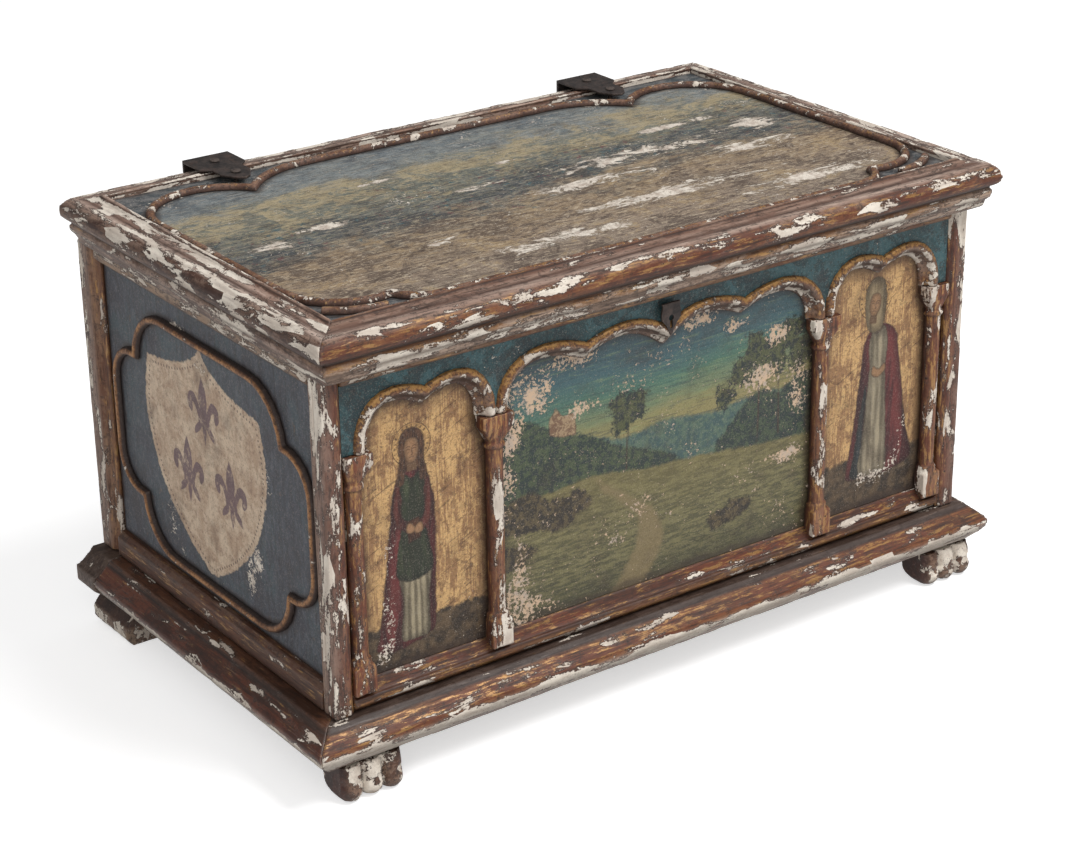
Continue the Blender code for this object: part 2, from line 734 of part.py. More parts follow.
def front_corner():
    """Cusp, centre and radius of the picture's lobe in the left front corner."""
    side, front = picture_sides()
    cusp = (PICTURE_FRONT_CORNER_WIDTH - side, front + PICTURE_FRONT_CUSP_RISE)
    radius = PICTURE_FRONT_CORNER_SHARE * PICTURE_FRONT_CORNER_WIDTH
    run = PICTURE_FRONT_CORNER_WIDTH - radius
    return cusp, (radius - side, cusp[1] + math.sqrt(radius**2 - run**2)), radius


def picture_path():
    """Closed outline of the lid's picture: corner lobes, cusps, and a long lobe at front and back."""
    side, front = picture_sides()
    back = Y_BACK - PICTURE_BACK_MARGIN
    front_cusp, corner_centre, _ = front_corner()
    lobe = PICTURE_FRONT_LOBE_RADIUS
    drop = lobe - PICTURE_FRONT_CUSP_RISE
    front_centre = (front_cusp[0] + math.sqrt(lobe**2 - drop**2), front + lobe)

    back_cusp = (HINGE_INSET - HALF_WIDTH, back - PICTURE_BACK_CUSP_DROP)
    width = side + back_cusp[0]
    hind = PICTURE_BACK_CORNER_SHARE * width
    hind_centre = (hind - side, back_cusp[1] - math.sqrt(hind**2 - (width - hind) ** 2))
    crown = PICTURE_BACK_LOBE_RADIUS
    rise = crown - PICTURE_BACK_CUSP_DROP
    crown_centre = (back_cusp[0] + math.sqrt(crown**2 - rise**2), back - crown)

    half = arc_between(front_centre, (front_centre[0], front), front_cusp, 4)
    half += arc_between(corner_centre, front_cusp, (-side, corner_centre[1]), 7)[1:]
    half += arc_between(hind_centre, (-side, hind_centre[1]), back_cusp, 9)
    half += arc_between(crown_centre, back_cusp, (crown_centre[0], back), 7)[1:]
    return half + [(-x, y) for x, y in reversed(half)]


def corner_path():
    """Line of the second bead in the left front corner, one step outside the picture's corner lobe."""
    side, front = picture_sides()
    _, centre, radius = front_corner()
    radius += CORNER_BEAD_STEP
    reach_side = centre[0] + side - BEAD_WIDTH / 2
    reach_front = centre[1] - front - BEAD_WIDTH / 2
    start = 180 + math.degrees(math.acos(min(1.0, reach_side / radius)))
    end = 270 - math.degrees(math.acos(min(1.0, reach_front / radius)))
    return arc(centre, radius, start, end, 8)


def make_lid(lid):
    profile = lid_profile()
    mouldings = {}
    for side in ("front", "left", "right", "back"):
        mesh = mitred_side(side, LID_EDGES, profile, Z_LID)
        mouldings[side] = add(f"lid_{side}_moulding", mesh, WORN_GESSO, lid)
    half, front, back = LID_EDGES
    inset = LID_BORDER + FIT
    low = (inset - half, front + inset, Z_LID)
    high = (half - inset, back - inset, Z_PICTURE)
    board = add("lid_board", box(low, high), PICTURE_PAINT, lid)
    seat = Z_PICTURE + FIT
    profile = bead_profile(BEAD_WIDTH, BEAD_HEIGHT)
    mesh = sweep(picture_path(), profile, lambda u, v, out: (u, v, seat + out), closed=True)
    add("lid_picture_bead", mesh, GILT_BOLE, lid)
    for name, sign in (("left", 1), ("right", -1)):
        mesh = sweep(corner_path(), profile, lambda u, v, out: (sign * u, v, seat + out))
        add(f"lid_{name}_corner_bead", mesh, GILT_BOLE, lid)
    return board, mouldings["back"]


def screw(name, head, tip, axis, carrier):
    """Domed screw from under its head to its tip along one axis, as one turned piece."""
    way = 1 if head[axis] > tip[axis] else -1
    rows = [
        (tip[axis], 0.4 * SCREW_RADIUS),
        (tip[axis] + way * 2 * SCREW_RADIUS, SCREW_RADIUS),
        (head[axis], SCREW_RADIUS),
        (head[axis], SCREW_HEAD_RADIUS),
        (head[axis] + way * 0.5 * SCREW_HEAD_HEIGHT, 0.92 * SCREW_HEAD_RADIUS),
        (head[axis] + way * SCREW_HEAD_HEIGHT, 0.45 * SCREW_HEAD_RADIUS),
    ]
    sections = []
    for along, radius in rows:
        section = []
        for u, v in arc((0, 0), radius, 0, 330, 11):
            point = [head[i] for i in range(3) if i != axis]
            point = [point[0] + u, point[1] + v]
            point.insert(axis, along)
            section.append(point)
        sections.append(section)
    return add(name, loft(sections), IRON, carrier)


def make_hinge(case, lid, name, x, board, back_moulding, back_board):
    axis_y, axis_z = HINGE_AXIS.y, HINGE_AXIS.z
    half = HINGE_WIDTH / 2
    knuckle = LID_KNUCKLE / 2
    across = (axis_y, axis_z)
    bore = PIN_RADIUS + PIN_CLEARANCE
    hole = SCREW_RADIUS + SCREW_CLEARANCE
    bores = cutter(f"{name}_bore", disc(across, bore, x - HINGE_WIDTH, x + HINGE_WIDTH, 0, 12), case)

    # Strap on the lid, bent down behind it to the middle knuckle
    leg_front = LID_EDGES[2] + FIT
    leg_back = leg_front + IRON_THICKNESS
    low, top = Z_LID_TOP + FIT, Z_LID_TOP + FIT + IRON_THICKNESS
    plate_front = leg_back - HINGE_PLATE_LENGTH
    tongue = HINGE_TONGUE_WIDTH / 2
    tip = plate_front - HINGE_TONGUE_LENGTH
    right = [
        (half, leg_back),
        (half, plate_front + (half - tongue)),
        (tongue, plate_front),
        (tongue, tip + 1.2 * tongue),
        (0.45 * tongue, tip + 0.3 * tongue),
    ]
    outline = [(x + u, y) for u, y in right] + [(x, tip)] + [(x - u, y) for u, y in reversed(right)]
    strap = add(f"{name}_lid_strap", along_z(outline, low, top), IRON, lid)
    shoulder = axis_z + BARREL_RADIUS + LID_OPENING_LEG_CLEARANCE
    leg = [(half, top), (half, shoulder), (knuckle, shoulder), (knuckle, axis_z)]
    outline = [(x + u, z) for u, z in leg] + [(x - u, z) for u, z in reversed(leg)]
    legs = cutter(f"{name}_leg", along_y(outline, leg_front, leg_back), lid)
    barrel = cutter(
        f"{name}_knuckle", disc(across, BARREL_RADIUS, x - knuckle, x + knuckle, 0, 18), lid
    )
    plate_screw_y = plate_front + 0.55 * HINGE_PLATE_LENGTH
    tongue_screw_y = plate_front - 0.45 * HINGE_TONGUE_LENGTH
    for other in (legs, barrel):
        combine(strap, other, "UNION")
    combine(strap, bores, "DIFFERENCE")
    for number, (y, wood) in enumerate(((plate_screw_y, back_moulding), (tongue_screw_y, board)), 1):
        drill = disc((x, y), hole, top - SCREW_LENGTH - SCREW_HEAD_HEIGHT, top + SCREW_HEAD_HEIGHT, 2, 12)
        drilled = cutter(f"{name}_strap_hole_{number}", drill, lid)
        combine(strap, drilled, "DIFFERENCE")
        combine(wood, drilled, "DIFFERENCE")
        head = (x, y, top + FIT)
        screw(f"{name}_strap_screw_{number}", head, (x, y, top - SCREW_LENGTH), 2, lid)

    # Leaf on the back board with the two outer knuckles, and the pin
    leaf_front = Y_BACK + FIT
    leaf_low, leaf_top = axis_z - HINGE_LEAF_DROP, axis_z
    low_half = 0.6 * half
    outline = [
        (x - half, leaf_top),
        (x - half, leaf_low + half),
        (x - low_half, leaf_low),
        (x + low_half, leaf_low),
        (x + half, leaf_low + half),
        (x + half, leaf_top),
        (x + knuckle + FIT, leaf_top),
        (x + knuckle + FIT, axis_z - BARREL_RADIUS - FIT),
        (x - knuckle - FIT, axis_z - BARREL_RADIUS - FIT),
        (x - knuckle - FIT, leaf_top),
    ]
    leaf = add(
        f"{name}_case_leaf", along_y(outline, leaf_front, leaf_front + IRON_THICKNESS), IRON, case
    )
    for side in (-1, 1):
        ends = sorted((x + side * (knuckle + FIT), x + side * half))
        barrel = cutter(f"{name}_outer_knuckle_{side}", disc(across, BARREL_RADIUS, *ends, 0, 18), case)
        combine(leaf, barrel, "UNION")
    combine(leaf, bores, "DIFFERENCE")
    screw_z = leaf_low + 0.45 * HINGE_LEAF_DROP
    leaf_back = leaf_front + IRON_THICKNESS
    reach = 0.8 * BOARD_THICKNESS
    ends = (Y_BACK - reach - SCREW_HEAD_HEIGHT, leaf_back + SCREW_HEAD_HEIGHT)
    drill = disc((x, screw_z), hole, *ends, 1, 12)
    drilled = cutter(f"{name}_leaf_hole", drill, case)
    combine(leaf, drilled, "DIFFERENCE")
    combine(back_board, drilled, "DIFFERENCE")
    screw(f"{name}_leaf_screw", (x, leaf_back + FIT, screw_z), (x, Y_BACK - reach, screw_z), 1, case)

    pin_end = half + FIT
    rows = [
        (-pin_end - PIN_END, 0.7 * PIN_RADIUS),
        (-pin_end - PIN_END / 2, bore + FIT),
        (-pin_end, bore + FIT),
        (-pin_end, PIN_RADIUS),
        (pin_end, PIN_RADIUS),
        (pin_end, bore + FIT),
        (pin_end + PIN_END / 2, bore + FIT),
        (pin_end + PIN_END, 0.7 * PIN_RADIUS),
    ]
    sections = []
    for along, radius in rows:
        ring = arc(across, radius, 0, 330, 11)
        sections.append([(x + along, y, z) for y, z in ring])
    add(f"{name}_pin", loft(sections), IRON, case)


def keyhole_outline():
    """Round head over a straight slot, about the head's centre."""
    half = KEYHOLE_SLOT_WIDTH / 2
    gap = math.degrees(math.asin(half / KEYHOLE_RADIUS))
    points = arc((0, 0), KEYHOLE_RADIUS, -90 + gap, 270 - gap, 14)
    points += [(-half, -KEYHOLE_SLOT_LENGTH), (half, -KEYHOLE_SLOT_LENGTH)]
    return [(x, Z_KEYHOLE + z) for x, z in points]


def make_lock(case, lid, bolt, front_board, spandrel):
    face = Y_FRONT + SPANDREL_RECESS - ARCH_BEAD_PROUD - FIT
    half, top = ESCUTCHEON_WIDTH / 2, Z_KEYHOLE + 0.45 * ESCUTCHEON_HEIGHT
    right = [(0.92 * half, top), (0.86 * half, top - 0.25 * half)]
    right += arc((0, top - half), half, 0, -55, 5)
    outline = right + [(0, top - ESCUTCHEON_HEIGHT)] + [(-x, z) for x, z in reversed(right)]
    escutcheon = add(
        "escutcheon", along_y(outline, face - ESCUTCHEON_THICKNESS, face), IRON, case
    )
    plate_front = Y_INSIDE + FIT
    plate_top = Z_BOLT + LOCK_PLATE_HEIGHT / 3
    low = (-LOCK_PLATE_WIDTH / 2, plate_front, plate_top - LOCK_PLATE_HEIGHT)
    plate = add("lock_plate", box(low, (LOCK_PLATE_WIDTH / 2, Y_LOCK, plate_top)), IRON, case)
    reach = (Y_FRONT - FRONT_RECESS, Y_LOCK + FRONT_RECESS)
    keyway = cutter("keyway", along_y(keyhole_outline(), *reach), case)
    for piece in (escutcheon, spandrel, front_board, plate):
        combine(piece, keyway, "DIFFERENCE")

    # Channel that carries the bolt against the plate
    space = BOLT_HEIGHT / 2 + BOLT_CLEARANCE
    wall = space + COVER_WALL
    roof = Y_LOCK + 2 * BOLT_CLEARANCE + BOLT_THICKNESS
    seat = Y_LOCK + FIT
    outline = [
        (seat, Z_BOLT + wall),
        (seat, Z_BOLT + space),
        (roof, Z_BOLT + space),
        (roof, Z_BOLT - space),
        (seat, Z_BOLT - space),
        (seat, Z_BOLT - wall),
        (roof + COVER_WALL, Z_BOLT - wall),
        (roof + COVER_WALL, Z_BOLT + wall),
    ]
    add("bolt_cover", along_x(outline, -COVER_LENGTH / 2, COVER_LENGTH / 2), IRON, case)

    reach = Vector((BOLT_LENGTH, BOLT_THICKNESS, BOLT_HEIGHT)) / 2
    add("lock_bolt", box(BOLT_REST - reach, BOLT_REST + reach), IRON, bolt)

    # Hook under the lid, whose foot lies under the thrown bolt
    x = COVER_LENGTH / 2 + BOLT_TRAVEL - HOOK_WIDTH / 2 - FIT
    bolt_back = BOLT_REST.y + BOLT_THICKNESS / 2
    bolt_low = Z_BOLT - BOLT_HEIGHT / 2
    leg = bolt_back + HOOK_CLEARANCE
    foot = bolt_low - HOOK_CLEARANCE
    under_lid = Z_LID - FIT
    plate_low = under_lid - HOOK_PLATE_THICKNESS
    outline = [
        (leg, plate_low),
        (leg, foot),
        (Y_LOCK + HOOK_CLEARANCE, foot),
        (Y_LOCK + HOOK_CLEARANCE, foot - HOOK_THICKNESS),
        (leg + HOOK_THICKNESS, foot - HOOK_THICKNESS),
        (leg + HOOK_THICKNESS, plate_low + HOOK_PLATE_THICKNESS / 2),
        (leg, plate_low + HOOK_PLATE_THICKNESS / 2),
    ]
    shank = cutter("hook_shank", along_x(outline, x - HOOK_WIDTH / 2, x + HOOK_WIDTH / 2), lid)
    low = (x - HOOK_PLATE_WIDTH / 2, leg - HOOK_CLEARANCE, plate_low)
    high = (x + HOOK_PLATE_WIDTH / 2, leg + HOOK_PLATE_LENGTH, under_lid)
    hook = add("lid_hook", box(low, high), IRON, lid)
    combine(hook, shank, "UNION")


def main():
    for old in list(bpy.data.objects):
        bpy.data.objects.remove(old, do_unlink=True)
    case = empty("case_origin", (0, 0, 0))
    lid = empty("lid_hinge_axis", HINGE_AXIS)
    bolt = empty("bolt_slide", BOLT_REST)
    front_board, back_board = make_carcass(case)
    make_front_frame(case)
    spandrel = make_arcade(case)
    make_colonnettes(case)
    for name, sign in (("left", -1), ("right", 1)):
        make_end_frame(case, name, sign)
    edges = make_base(case)
    make_feet(case, edges)
    board, back_moulding = make_lid(lid)
    for name, sign in (("left_hinge", -1), ("right_hinge", 1)):
        x = sign * (HALF_WIDTH - HINGE_INSET)
        make_hinge(case, lid, name, x, board, back_moulding, back_board)
    make_lock(case, lid, bolt, front_board, spandrel)


main()
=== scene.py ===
"""Dresses the solids of a painted and gilt wooden casket: flaked mouldings, paintings on gesso and old iron.
Everything is in metres in the frame of the solids, with +Z up and the front towards -Y."""

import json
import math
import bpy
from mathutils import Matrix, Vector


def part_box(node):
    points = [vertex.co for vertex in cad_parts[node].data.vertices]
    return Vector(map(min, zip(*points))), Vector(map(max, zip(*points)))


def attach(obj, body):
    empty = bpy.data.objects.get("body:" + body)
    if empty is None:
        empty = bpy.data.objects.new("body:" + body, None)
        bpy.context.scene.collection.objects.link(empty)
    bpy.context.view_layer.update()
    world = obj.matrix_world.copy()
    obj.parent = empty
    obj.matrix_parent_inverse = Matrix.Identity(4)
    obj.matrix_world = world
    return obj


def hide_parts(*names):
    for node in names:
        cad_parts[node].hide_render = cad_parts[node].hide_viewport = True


bl_info = {
    "name": "Painted casket",
    "version": (1, 0, 0),
    "blender": (4, 5, 0),
    "location": "View3D > Sidebar > Casket",
    "description": "Makes the flaked mouldings, the paintings and the iron of a painted casket",
    "category": "Object",
}

import bpy
import numpy as np
from bpy.props import FloatProperty, FloatVectorProperty, PointerProperty
from mathutils import Matrix, Vector
from mathutils.bvhtree import BVHTree

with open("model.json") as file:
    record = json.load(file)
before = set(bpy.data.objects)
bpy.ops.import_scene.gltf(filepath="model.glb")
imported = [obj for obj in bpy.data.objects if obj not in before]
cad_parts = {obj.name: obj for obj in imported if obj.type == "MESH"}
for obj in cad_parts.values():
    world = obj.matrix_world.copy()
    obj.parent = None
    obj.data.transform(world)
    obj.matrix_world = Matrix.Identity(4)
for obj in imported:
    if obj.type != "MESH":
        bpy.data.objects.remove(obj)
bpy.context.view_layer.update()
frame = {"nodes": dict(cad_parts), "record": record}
BODY_OF = {
    node: body for body, nodes in frame["record"]["behaviour"]["bodies"].items() for node in nodes
}
SLOT_OF = {row["node"]: row["material_slot"] for row in frame["record"]["subparts"]}

# Groups of pieces
LID_BEADS = ("lid_picture_bead", "lid_left_corner_bead", "lid_right_corner_bead")
END_FRAME = ("front_strip", "back_stile", "top_rail", "bottom_rail")
SIDES = ("left", "right")
ARCADE = (
    "left_arch_moulding", "middle_arch_moulding", "right_arch_moulding", "front_sill",
    "colonnette_1", "colonnette_2", "colonnette_3", "colonnette_4",
)

# Faces that carry paint, from the solids
PANEL_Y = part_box("front_board")[0].y
END_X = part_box("right_end_board")[1].x
PICTURE_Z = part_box("lid_board")[1].z
BASE_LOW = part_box("base_front_moulding")[0].z
BASE_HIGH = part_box("base_front_moulding")[1].z
SILL_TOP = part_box("front_sill")[1].z
BAY_LOW = SILL_TOP - 0.004
BAY_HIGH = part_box("front_top_rail")[0].z - 0.004

# Layers of paint, and the mesh sizes and places that have no setting
PAINT_LIFT = 0.00018
PAINT_LAYER = 0.00012
PANEL_SKIN_Y = PANEL_Y - PAINT_LIFT
FRONT_TURN = (math.pi / 2, 0, 0)
FIGURE_SPACING = 0.002
LANDSCAPE_SPACING = 0.0017
SHIELD_SPACING = 0.0016
LID_SPACING = 0.0026
BLOCK_SKIN = 0.0011
STRAP_SKIN = 0.0006
PLATE_SKIN = 0.0004
ARCH_PLUMP = 0.0009
WELD = 0.00001

# Camera and lamps
EYE = (-0.9261, -1.3099, 0.8295)
EYE_ACROSS = (0.8122, -0.5833, -0.0132)
EYE_BACK = (-0.5301, -0.7472, 0.4008)
SENSOR = 36
KEY_PLACE = (0.7, -1.2, 2.3)
KEY_AIM = (0, 0, 0.1)
KEY_SIZE = 1.2
FILL_PLACE = (-1.4, -1.6, 1.5)
FILL_AIM = (0, 0, 0.15)
FILL_SIZE = 1.4
FLOOR_SIZE = 60


def tint(red, green, blue):
    """Linear colour of an sRGB one given in steps of 255."""
    shares = (red / 255, green / 255, blue / 255)
    return tuple(c / 12.92 if c <= 0.04045 else ((c + 0.055) / 1.055) ** 2.4 for c in shares)


def colour_setting(name, description, shade):
    return FloatVectorProperty(
        name=name, description=description, subtype="COLOR", size=3, min=0, max=1, default=tint(*shade)
    )


class CasketFinishes(bpy.types.PropertyGroup):
    gesso: colour_setting("Gesso", "Chalk ground where the paint has come off", (230, 220, 206))
    old_gesso: colour_setting("Old gesso", "Soiled chalk ground", (184, 168, 154))
    # Umber is also the painted shade in the hollows, under surfaces that face down, at flake edges and beside
    # the mouldings
    umber: colour_setting("Umber", "Grime and bare wood in the hollows", (48, 33, 26))
    gold: colour_setting("Gold leaf", "Gilding that is left", (196, 156, 94))
    dull_gold: colour_setting("Dull gold", "Gilding that is rubbed", (150, 108, 62))
    # Haze on the sharp edges is also a painted highlight
    haze: colour_setting("Haze", "Thin mauve-grey chalk over worn edges", (158, 142, 134))
    teal: colour_setting("Teal", "Paint above the arches", (38, 72, 76))
    slate: colour_setting("Slate", "Paint on the end panels", (74, 79, 88))
    crimson: colour_setting("Crimson", "Mantles of the painted figures", (108, 44, 44))
    iron: colour_setting("Iron", "Forged hinges and lock", (76, 66, 62))


def length_setting(name, description, low, high, usual):
    kind = {"subtype": "DISTANCE", "unit": "LENGTH"}
    return FloatProperty(name=name, description=description, min=low, max=high, default=usual, **kind)


class CasketWear(bpy.types.PropertyGroup):
    flake_depth: length_setting("Flake depth", "Thickness of the layer that has flaked off", 0, 0.002, 0.0003)
    waviness: length_setting("Waviness", "How far the handmade surfaces wander", 0, 0.003, 0.0007)
    coarse_skin: length_setting("Coarse skin", "Mesh size on lid border and base", 0.0008, 0.004, 0.0013)
    fine_skin: length_setting("Fine skin", "Mesh size on the frames", 0.0005, 0.003, 0.0009)
    thin_skin: length_setting("Thin skin", "Mesh size on beads, arches and paws", 0.0004, 0.003, 0.0008)


class CasketStage(bpy.types.PropertyGroup):
    lens: FloatProperty(
        name="Lens", description="Focal length of the camera", subtype="DISTANCE_CAMERA", default=86.8
    )
    key_power: FloatProperty(name="Key light", description="Power of the main lamp", unit="POWER", default=44)
    fill_power: FloatProperty(name="Fill light", description="Power of a side lamp", unit="POWER", default=12)
    room_light: FloatProperty(name="Room light", description="Strength of the even light", default=0.36)


class Value:
    """A number in a node tree. Arithmetic on it adds Math nodes."""

    def __init__(self, paint, socket):
        self.paint = paint
        self.socket = socket

    def other(self, name):
        """Another output of the node that this value comes from."""
        return Value(self.paint, self.socket.node.outputs[name])

    def calc(self, operation, *items):
        return self.paint.node("ShaderNodeMath", {"operation": operation}, dict(enumerate(items)))

    def __add__(self, other):
        return self.calc("ADD", self, other)

    def __radd__(self, other):
        return self.calc("ADD", other, self)

    def __sub__(self, other):
        return self.calc("SUBTRACT", self, other)

    def __rsub__(self, other):
        return self.calc("SUBTRACT", other, self)

    def __mul__(self, other):
        return self.calc("MULTIPLY", self, other)

    def __rmul__(self, other):
        return self.calc("MULTIPLY", other, self)

    def __truediv__(self, other):
        return self.calc("DIVIDE", self, other)

    def __pow__(self, other):
        return self.calc("POWER", self, other)

    def __abs__(self):
        return self.calc("ABSOLUTE", self)

    def most(self, other):
        return self.calc("MAXIMUM", self, other)

    def sine(self):
        return self.calc("SINE", self)


class Paint:
    """Adds nodes to the tree of a finish or of a modifier."""

    def __init__(self, tree):
        self.tree = tree
        if tree.type == "GEOMETRY":
            self.place = self.node("GeometryNodeInputPosition")
        else:
            self.place = self.node("ShaderNodeTexCoord", output="Object")
        self.x = self.node("ShaderNodeSeparateXYZ", sockets={0: self.place}, output="X")
        self.y = self.x.other("Y")
        self.z = self.x.other("Z")

    def node(self, kind, settings=None, sockets=None, output=0):
        """Adds a node: its settings are set first, then its sockets get their values or links."""
        made = self.tree.nodes.new(kind)
        for name, value in (settings or {}).items():
            if name == "stops":
                self.set_stops(made.color_ramp, value)
            else:
                setattr(made, name, value)
        for name, value in (sockets or {}).items():
            socket = made.inputs[name]
            if isinstance(value, Value):
                self.tree.links.new(value.socket, socket)
            elif socket.type == "RGBA":
                socket.default_value = (*value[:3], 1)
            else:
                socket.default_value = value
        return Value(self, made.outputs[output]) if made.outputs else None

    def set_stops(self, ramp, stops):
        while len(ramp.elements) < len(stops):
            ramp.elements.new(1.0)
        for element, (place, shade) in zip(ramp.elements, stops):
            element.position = place
            element.color = (*shade[:3], 1)

    def stretch(self, vector, factors):
        return self.node("ShaderNodeVectorMath", {"operation": "MULTIPLY"}, {0: vector, 1: factors})

    def shift(self, vector, step):
        return self.node("ShaderNodeVectorMath", {"operation": "ADD"}, {0: vector, 1: step})

    def noise(self, vector, scale, detail=3.0, roughness=0.55, distortion=0.0):
        sockets = {
            "Vector": vector,
            "Scale": scale,
            "Detail": detail,
            "Roughness": roughness,
            "Distortion": distortion,
        }
        return self.node("ShaderNodeTexNoise", sockets=sockets)

    def mottle(self, *shape):
        """Noise that is alike in all directions."""
        return self.noise(self.place, *shape)

    def streaks(self, factors, *shape):
        """Noise drawn out along the axes with small factors."""
        return self.noise(self.stretch(self.place, factors), *shape)

    def cells(self, vector, scale, output="Position"):
        sockets = {"Vector": vector, "Scale": scale}
        return self.node("ShaderNodeTexVoronoi", sockets=sockets, output=output)

    def step(self, value, low, high):
        """0 below low, 1 above high, and a smooth rise between."""
        settings = {"interpolation_type": "SMOOTHSTEP"}
        return self.node("ShaderNodeMapRange", settings, {"Value": value, "From Min": low, "From Max": high})

    def band(self, value, middle, half, soft):
        """1 within half of the middle, fading over soft."""
        return self.step(abs(value - middle), half + soft, half)

    def mix(self, share, first, second, blend="MIX"):
        settings = {"data_type": "RGBA", "blend_type": blend}
        return self.node("ShaderNodeMix", settings, {0: share, 6: first, 7: second}, 2)

    def wash(self, colour, shade, value, low, high, share):
        """Lays a shade over a colour where a value goes from low to high."""
        return self.mix(self.step(value, low, high) * share, colour, shade)

    def ramp(self, value, stops):
        return self.node("ShaderNodeValToRGB", {"stops": stops}, {0: value})

    def tones(self, value, stops):
        """Colours along a value, from (place, sRGB colour) stops."""
        return self.ramp(value, [(place, tint(*shade)) for place, shade in stops])

    def levels(self, value, stops):
        """A number between -0.5 and 0.5 along a value, from (place, number) stops."""
        greys = [(place, [number + 0.5] * 3) for place, number in stops]
        return self.ramp(value, greys) - 0.5

    def attribute(self, name):
        """A number kept on the mesh."""
        if self.tree.type == "GEOMETRY":
            settings = {"data_type": "FLOAT"}
            return self.node("GeometryNodeInputNamedAttribute", settings, {"Name": name}, "Attribute")
        return self.node("ShaderNodeAttribute", {"attribute_name": name}, output="Fac")

    def edges(self):
        """1 on sharp outer edges, and 1 in hollows, as two values."""
        point = self.node("ShaderNodeNewGeometry", output="Pointiness")
        return self.step(point, 0.515, 0.60), self.step(point, 0.488, 0.43)

    def surface(self, colour, roughness, metallic, height, distance):
        """The finish's look: its bumps are a height times a distance in metres."""
        sockets = {"Base Color": colour, "Roughness": roughness, "Metallic": metallic}
        sockets["Specular IOR Level"] = 0.4
        bump = {"Strength": 0.7, "Distance": distance, "Height": height}
        sockets["Normal"] = self.node("ShaderNodeBump", sockets=bump)
        shader = self.node("ShaderNodeBsdfPrincipled", sockets=sockets)
        self.node("ShaderNodeOutputMaterial", sockets={"Surface": shader})


def new_finish(name):
    made = bpy.data.materials.new(name)
    made.use_nodes = True
    made.node_tree.nodes.clear()
    return made, Paint(made.node_tree)


def shades():
    return bpy.context.scene.casket_finishes


def wear():
    return bpy.context.scene.casket_wear


class Coat:
    """Old paint, gilding and gesso on a moulding. run gives the stretched place that flakes and streaks
    follow, and zone the place across the profile, from 0 to 1. bands lists (place, colour, second colour,
    bareness, gilding)."""

    def __init__(self, name, run, zone, bands, polish=0.0):
        self.run = run
        self.zone = zone
        self.bands = bands
        self.finish = self.make_finish(name, polish)

    def column(self, number):
        return [(band[0], band[number]) for band in self.bands]

    def flaking(self, paint):
        """Field that passes 0.5 where the paint is off."""
        along = self.run(paint)
        broad = paint.noise(along, 100, 8, 0.68, 0.35)
        broken = paint.noise(paint.cells(along, 210), 130, 2, 0.5)
        fine = paint.mottle(620, 3, 0.6)
        bareness = paint.levels(self.zone(paint), self.column(3))
        return broad * 0.58 + broken * 0.34 + fine * 0.10 - 0.005 + bareness

    def make_finish(self, name, polish):
        made, paint = new_finish(name)
        kit = shades()
        along = self.run(paint)
        zone = self.zone(paint)
        fine = paint.mottle(520, 3, 0.6)
        patch = paint.noise(along, 60, 6, 0.70, 0.5) + (fine - 0.5) * 0.2
        first, second = [paint.tones(zone, self.column(number)) for number in (1, 2)]
        body = paint.mix(paint.step(patch, 0.44, 0.56), first, second)
        body = paint.mix(0.75, body, (0.66, 0.52, 0.44), "MULTIPLY")
        streak = paint.noise(self.run(paint, 0.30), 520, 5, 0.68, 0.2)
        body = paint.wash(body, kit.umber, streak, 0.50, 0.66, 0.80)
        body = paint.wash(body, kit.haze, streak, 0.44, 0.28, 0.25)
        blotch = paint.step(paint.mottle(170, 7, 0.75, 0.3), 0.53, 0.62)
        body = paint.mix(blotch * 0.6, body, kit.umber)
        edge, hollow = paint.edges()
        leaf_field = paint.noise(paint.shift(along, (3.1, 1.7, 5.3)), 330, 8, 0.76) + (0.5 - streak) * 0.9
        # Gilding shows a little more on sharp edges: gilt crests and a painted highlight
        leaf = paint.step(leaf_field + paint.levels(zone, self.column(4)) + edge * 0.06, 0.520, 0.600)
        warm = paint.step(leaf_field + paint.levels(zone, self.column(4)), 0.40, 0.55)
        body = paint.mix(warm * 0.10, body, kit.dull_gold)
        body = paint.mix(leaf * 0.62, body, paint.mix(fine, kit.gold, kit.dull_gold))
        field = self.flaking(paint)
        lost = paint.step(field, 0.497, 0.506)
        body = paint.wash(body, kit.haze, field, 0.43, 0.50, 0.15)
        # Dark line round the flakes: dirt and painted shadow at their broken edges
        body = paint.mix(paint.band(field, 0.486, 0.007, 0.010) * 0.8, body, kit.umber)
        # Pale haze on the sharp edges: worn chalk and a painted highlight
        body = paint.mix(edge * 0.25, body, kit.haze)
        soil = paint.step(paint.noise(along, 130, 6, 0.70), 0.42, 0.64)
        chalk = paint.mix(soil * 0.65, kit.gesso, kit.old_gesso)
        chalk = paint.wash(chalk, kit.haze, streak, 0.56, 0.74, 0.5)
        colour = paint.mix(lost, body, chalk)
        # Umber in the hollows: grime and painted shade
        colour = paint.mix(hollow * 0.85, colour, kit.umber)
        # Painted shade: surfaces that face down are darkened with umber
        underside_shade = paint.step(paint.attribute("tilt") + (fine - 0.5) * 0.5, -0.05, -0.75)
        colour = paint.mix(underside_shade * 0.55, colour, kit.umber)
        pits = paint.step(paint.mottle(950, 2, 0.6), 0.66, 0.71)
        holes = paint.step(paint.cells(paint.place, 52, "Distance"), 0.050, 0.040)
        pits = pits.most(holes * 1.6)
        colour = paint.mix(pits * 0.6, colour, kit.umber)
        gilt = leaf * (1 - lost)
        roughness = 0.60 - polish + lost * (0.25 + polish) - gilt * 0.14 + (streak - 0.5) * 0.3
        height = (0.5 - streak) * 0.5 - lost * 0.55 + soil * 0.10 - pits * 0.35
        paint.surface(colour, roughness, gilt * 0.35, height, 0.0005)
        return made


def straight(factors):
    """Flakes drawn out along one axis; a share below 1 draws streaks out further."""

    def run(paint, share=1.0):
        return paint.stretch(paint.place, tuple(f * share if f < 1 else f for f in factors))

    return run


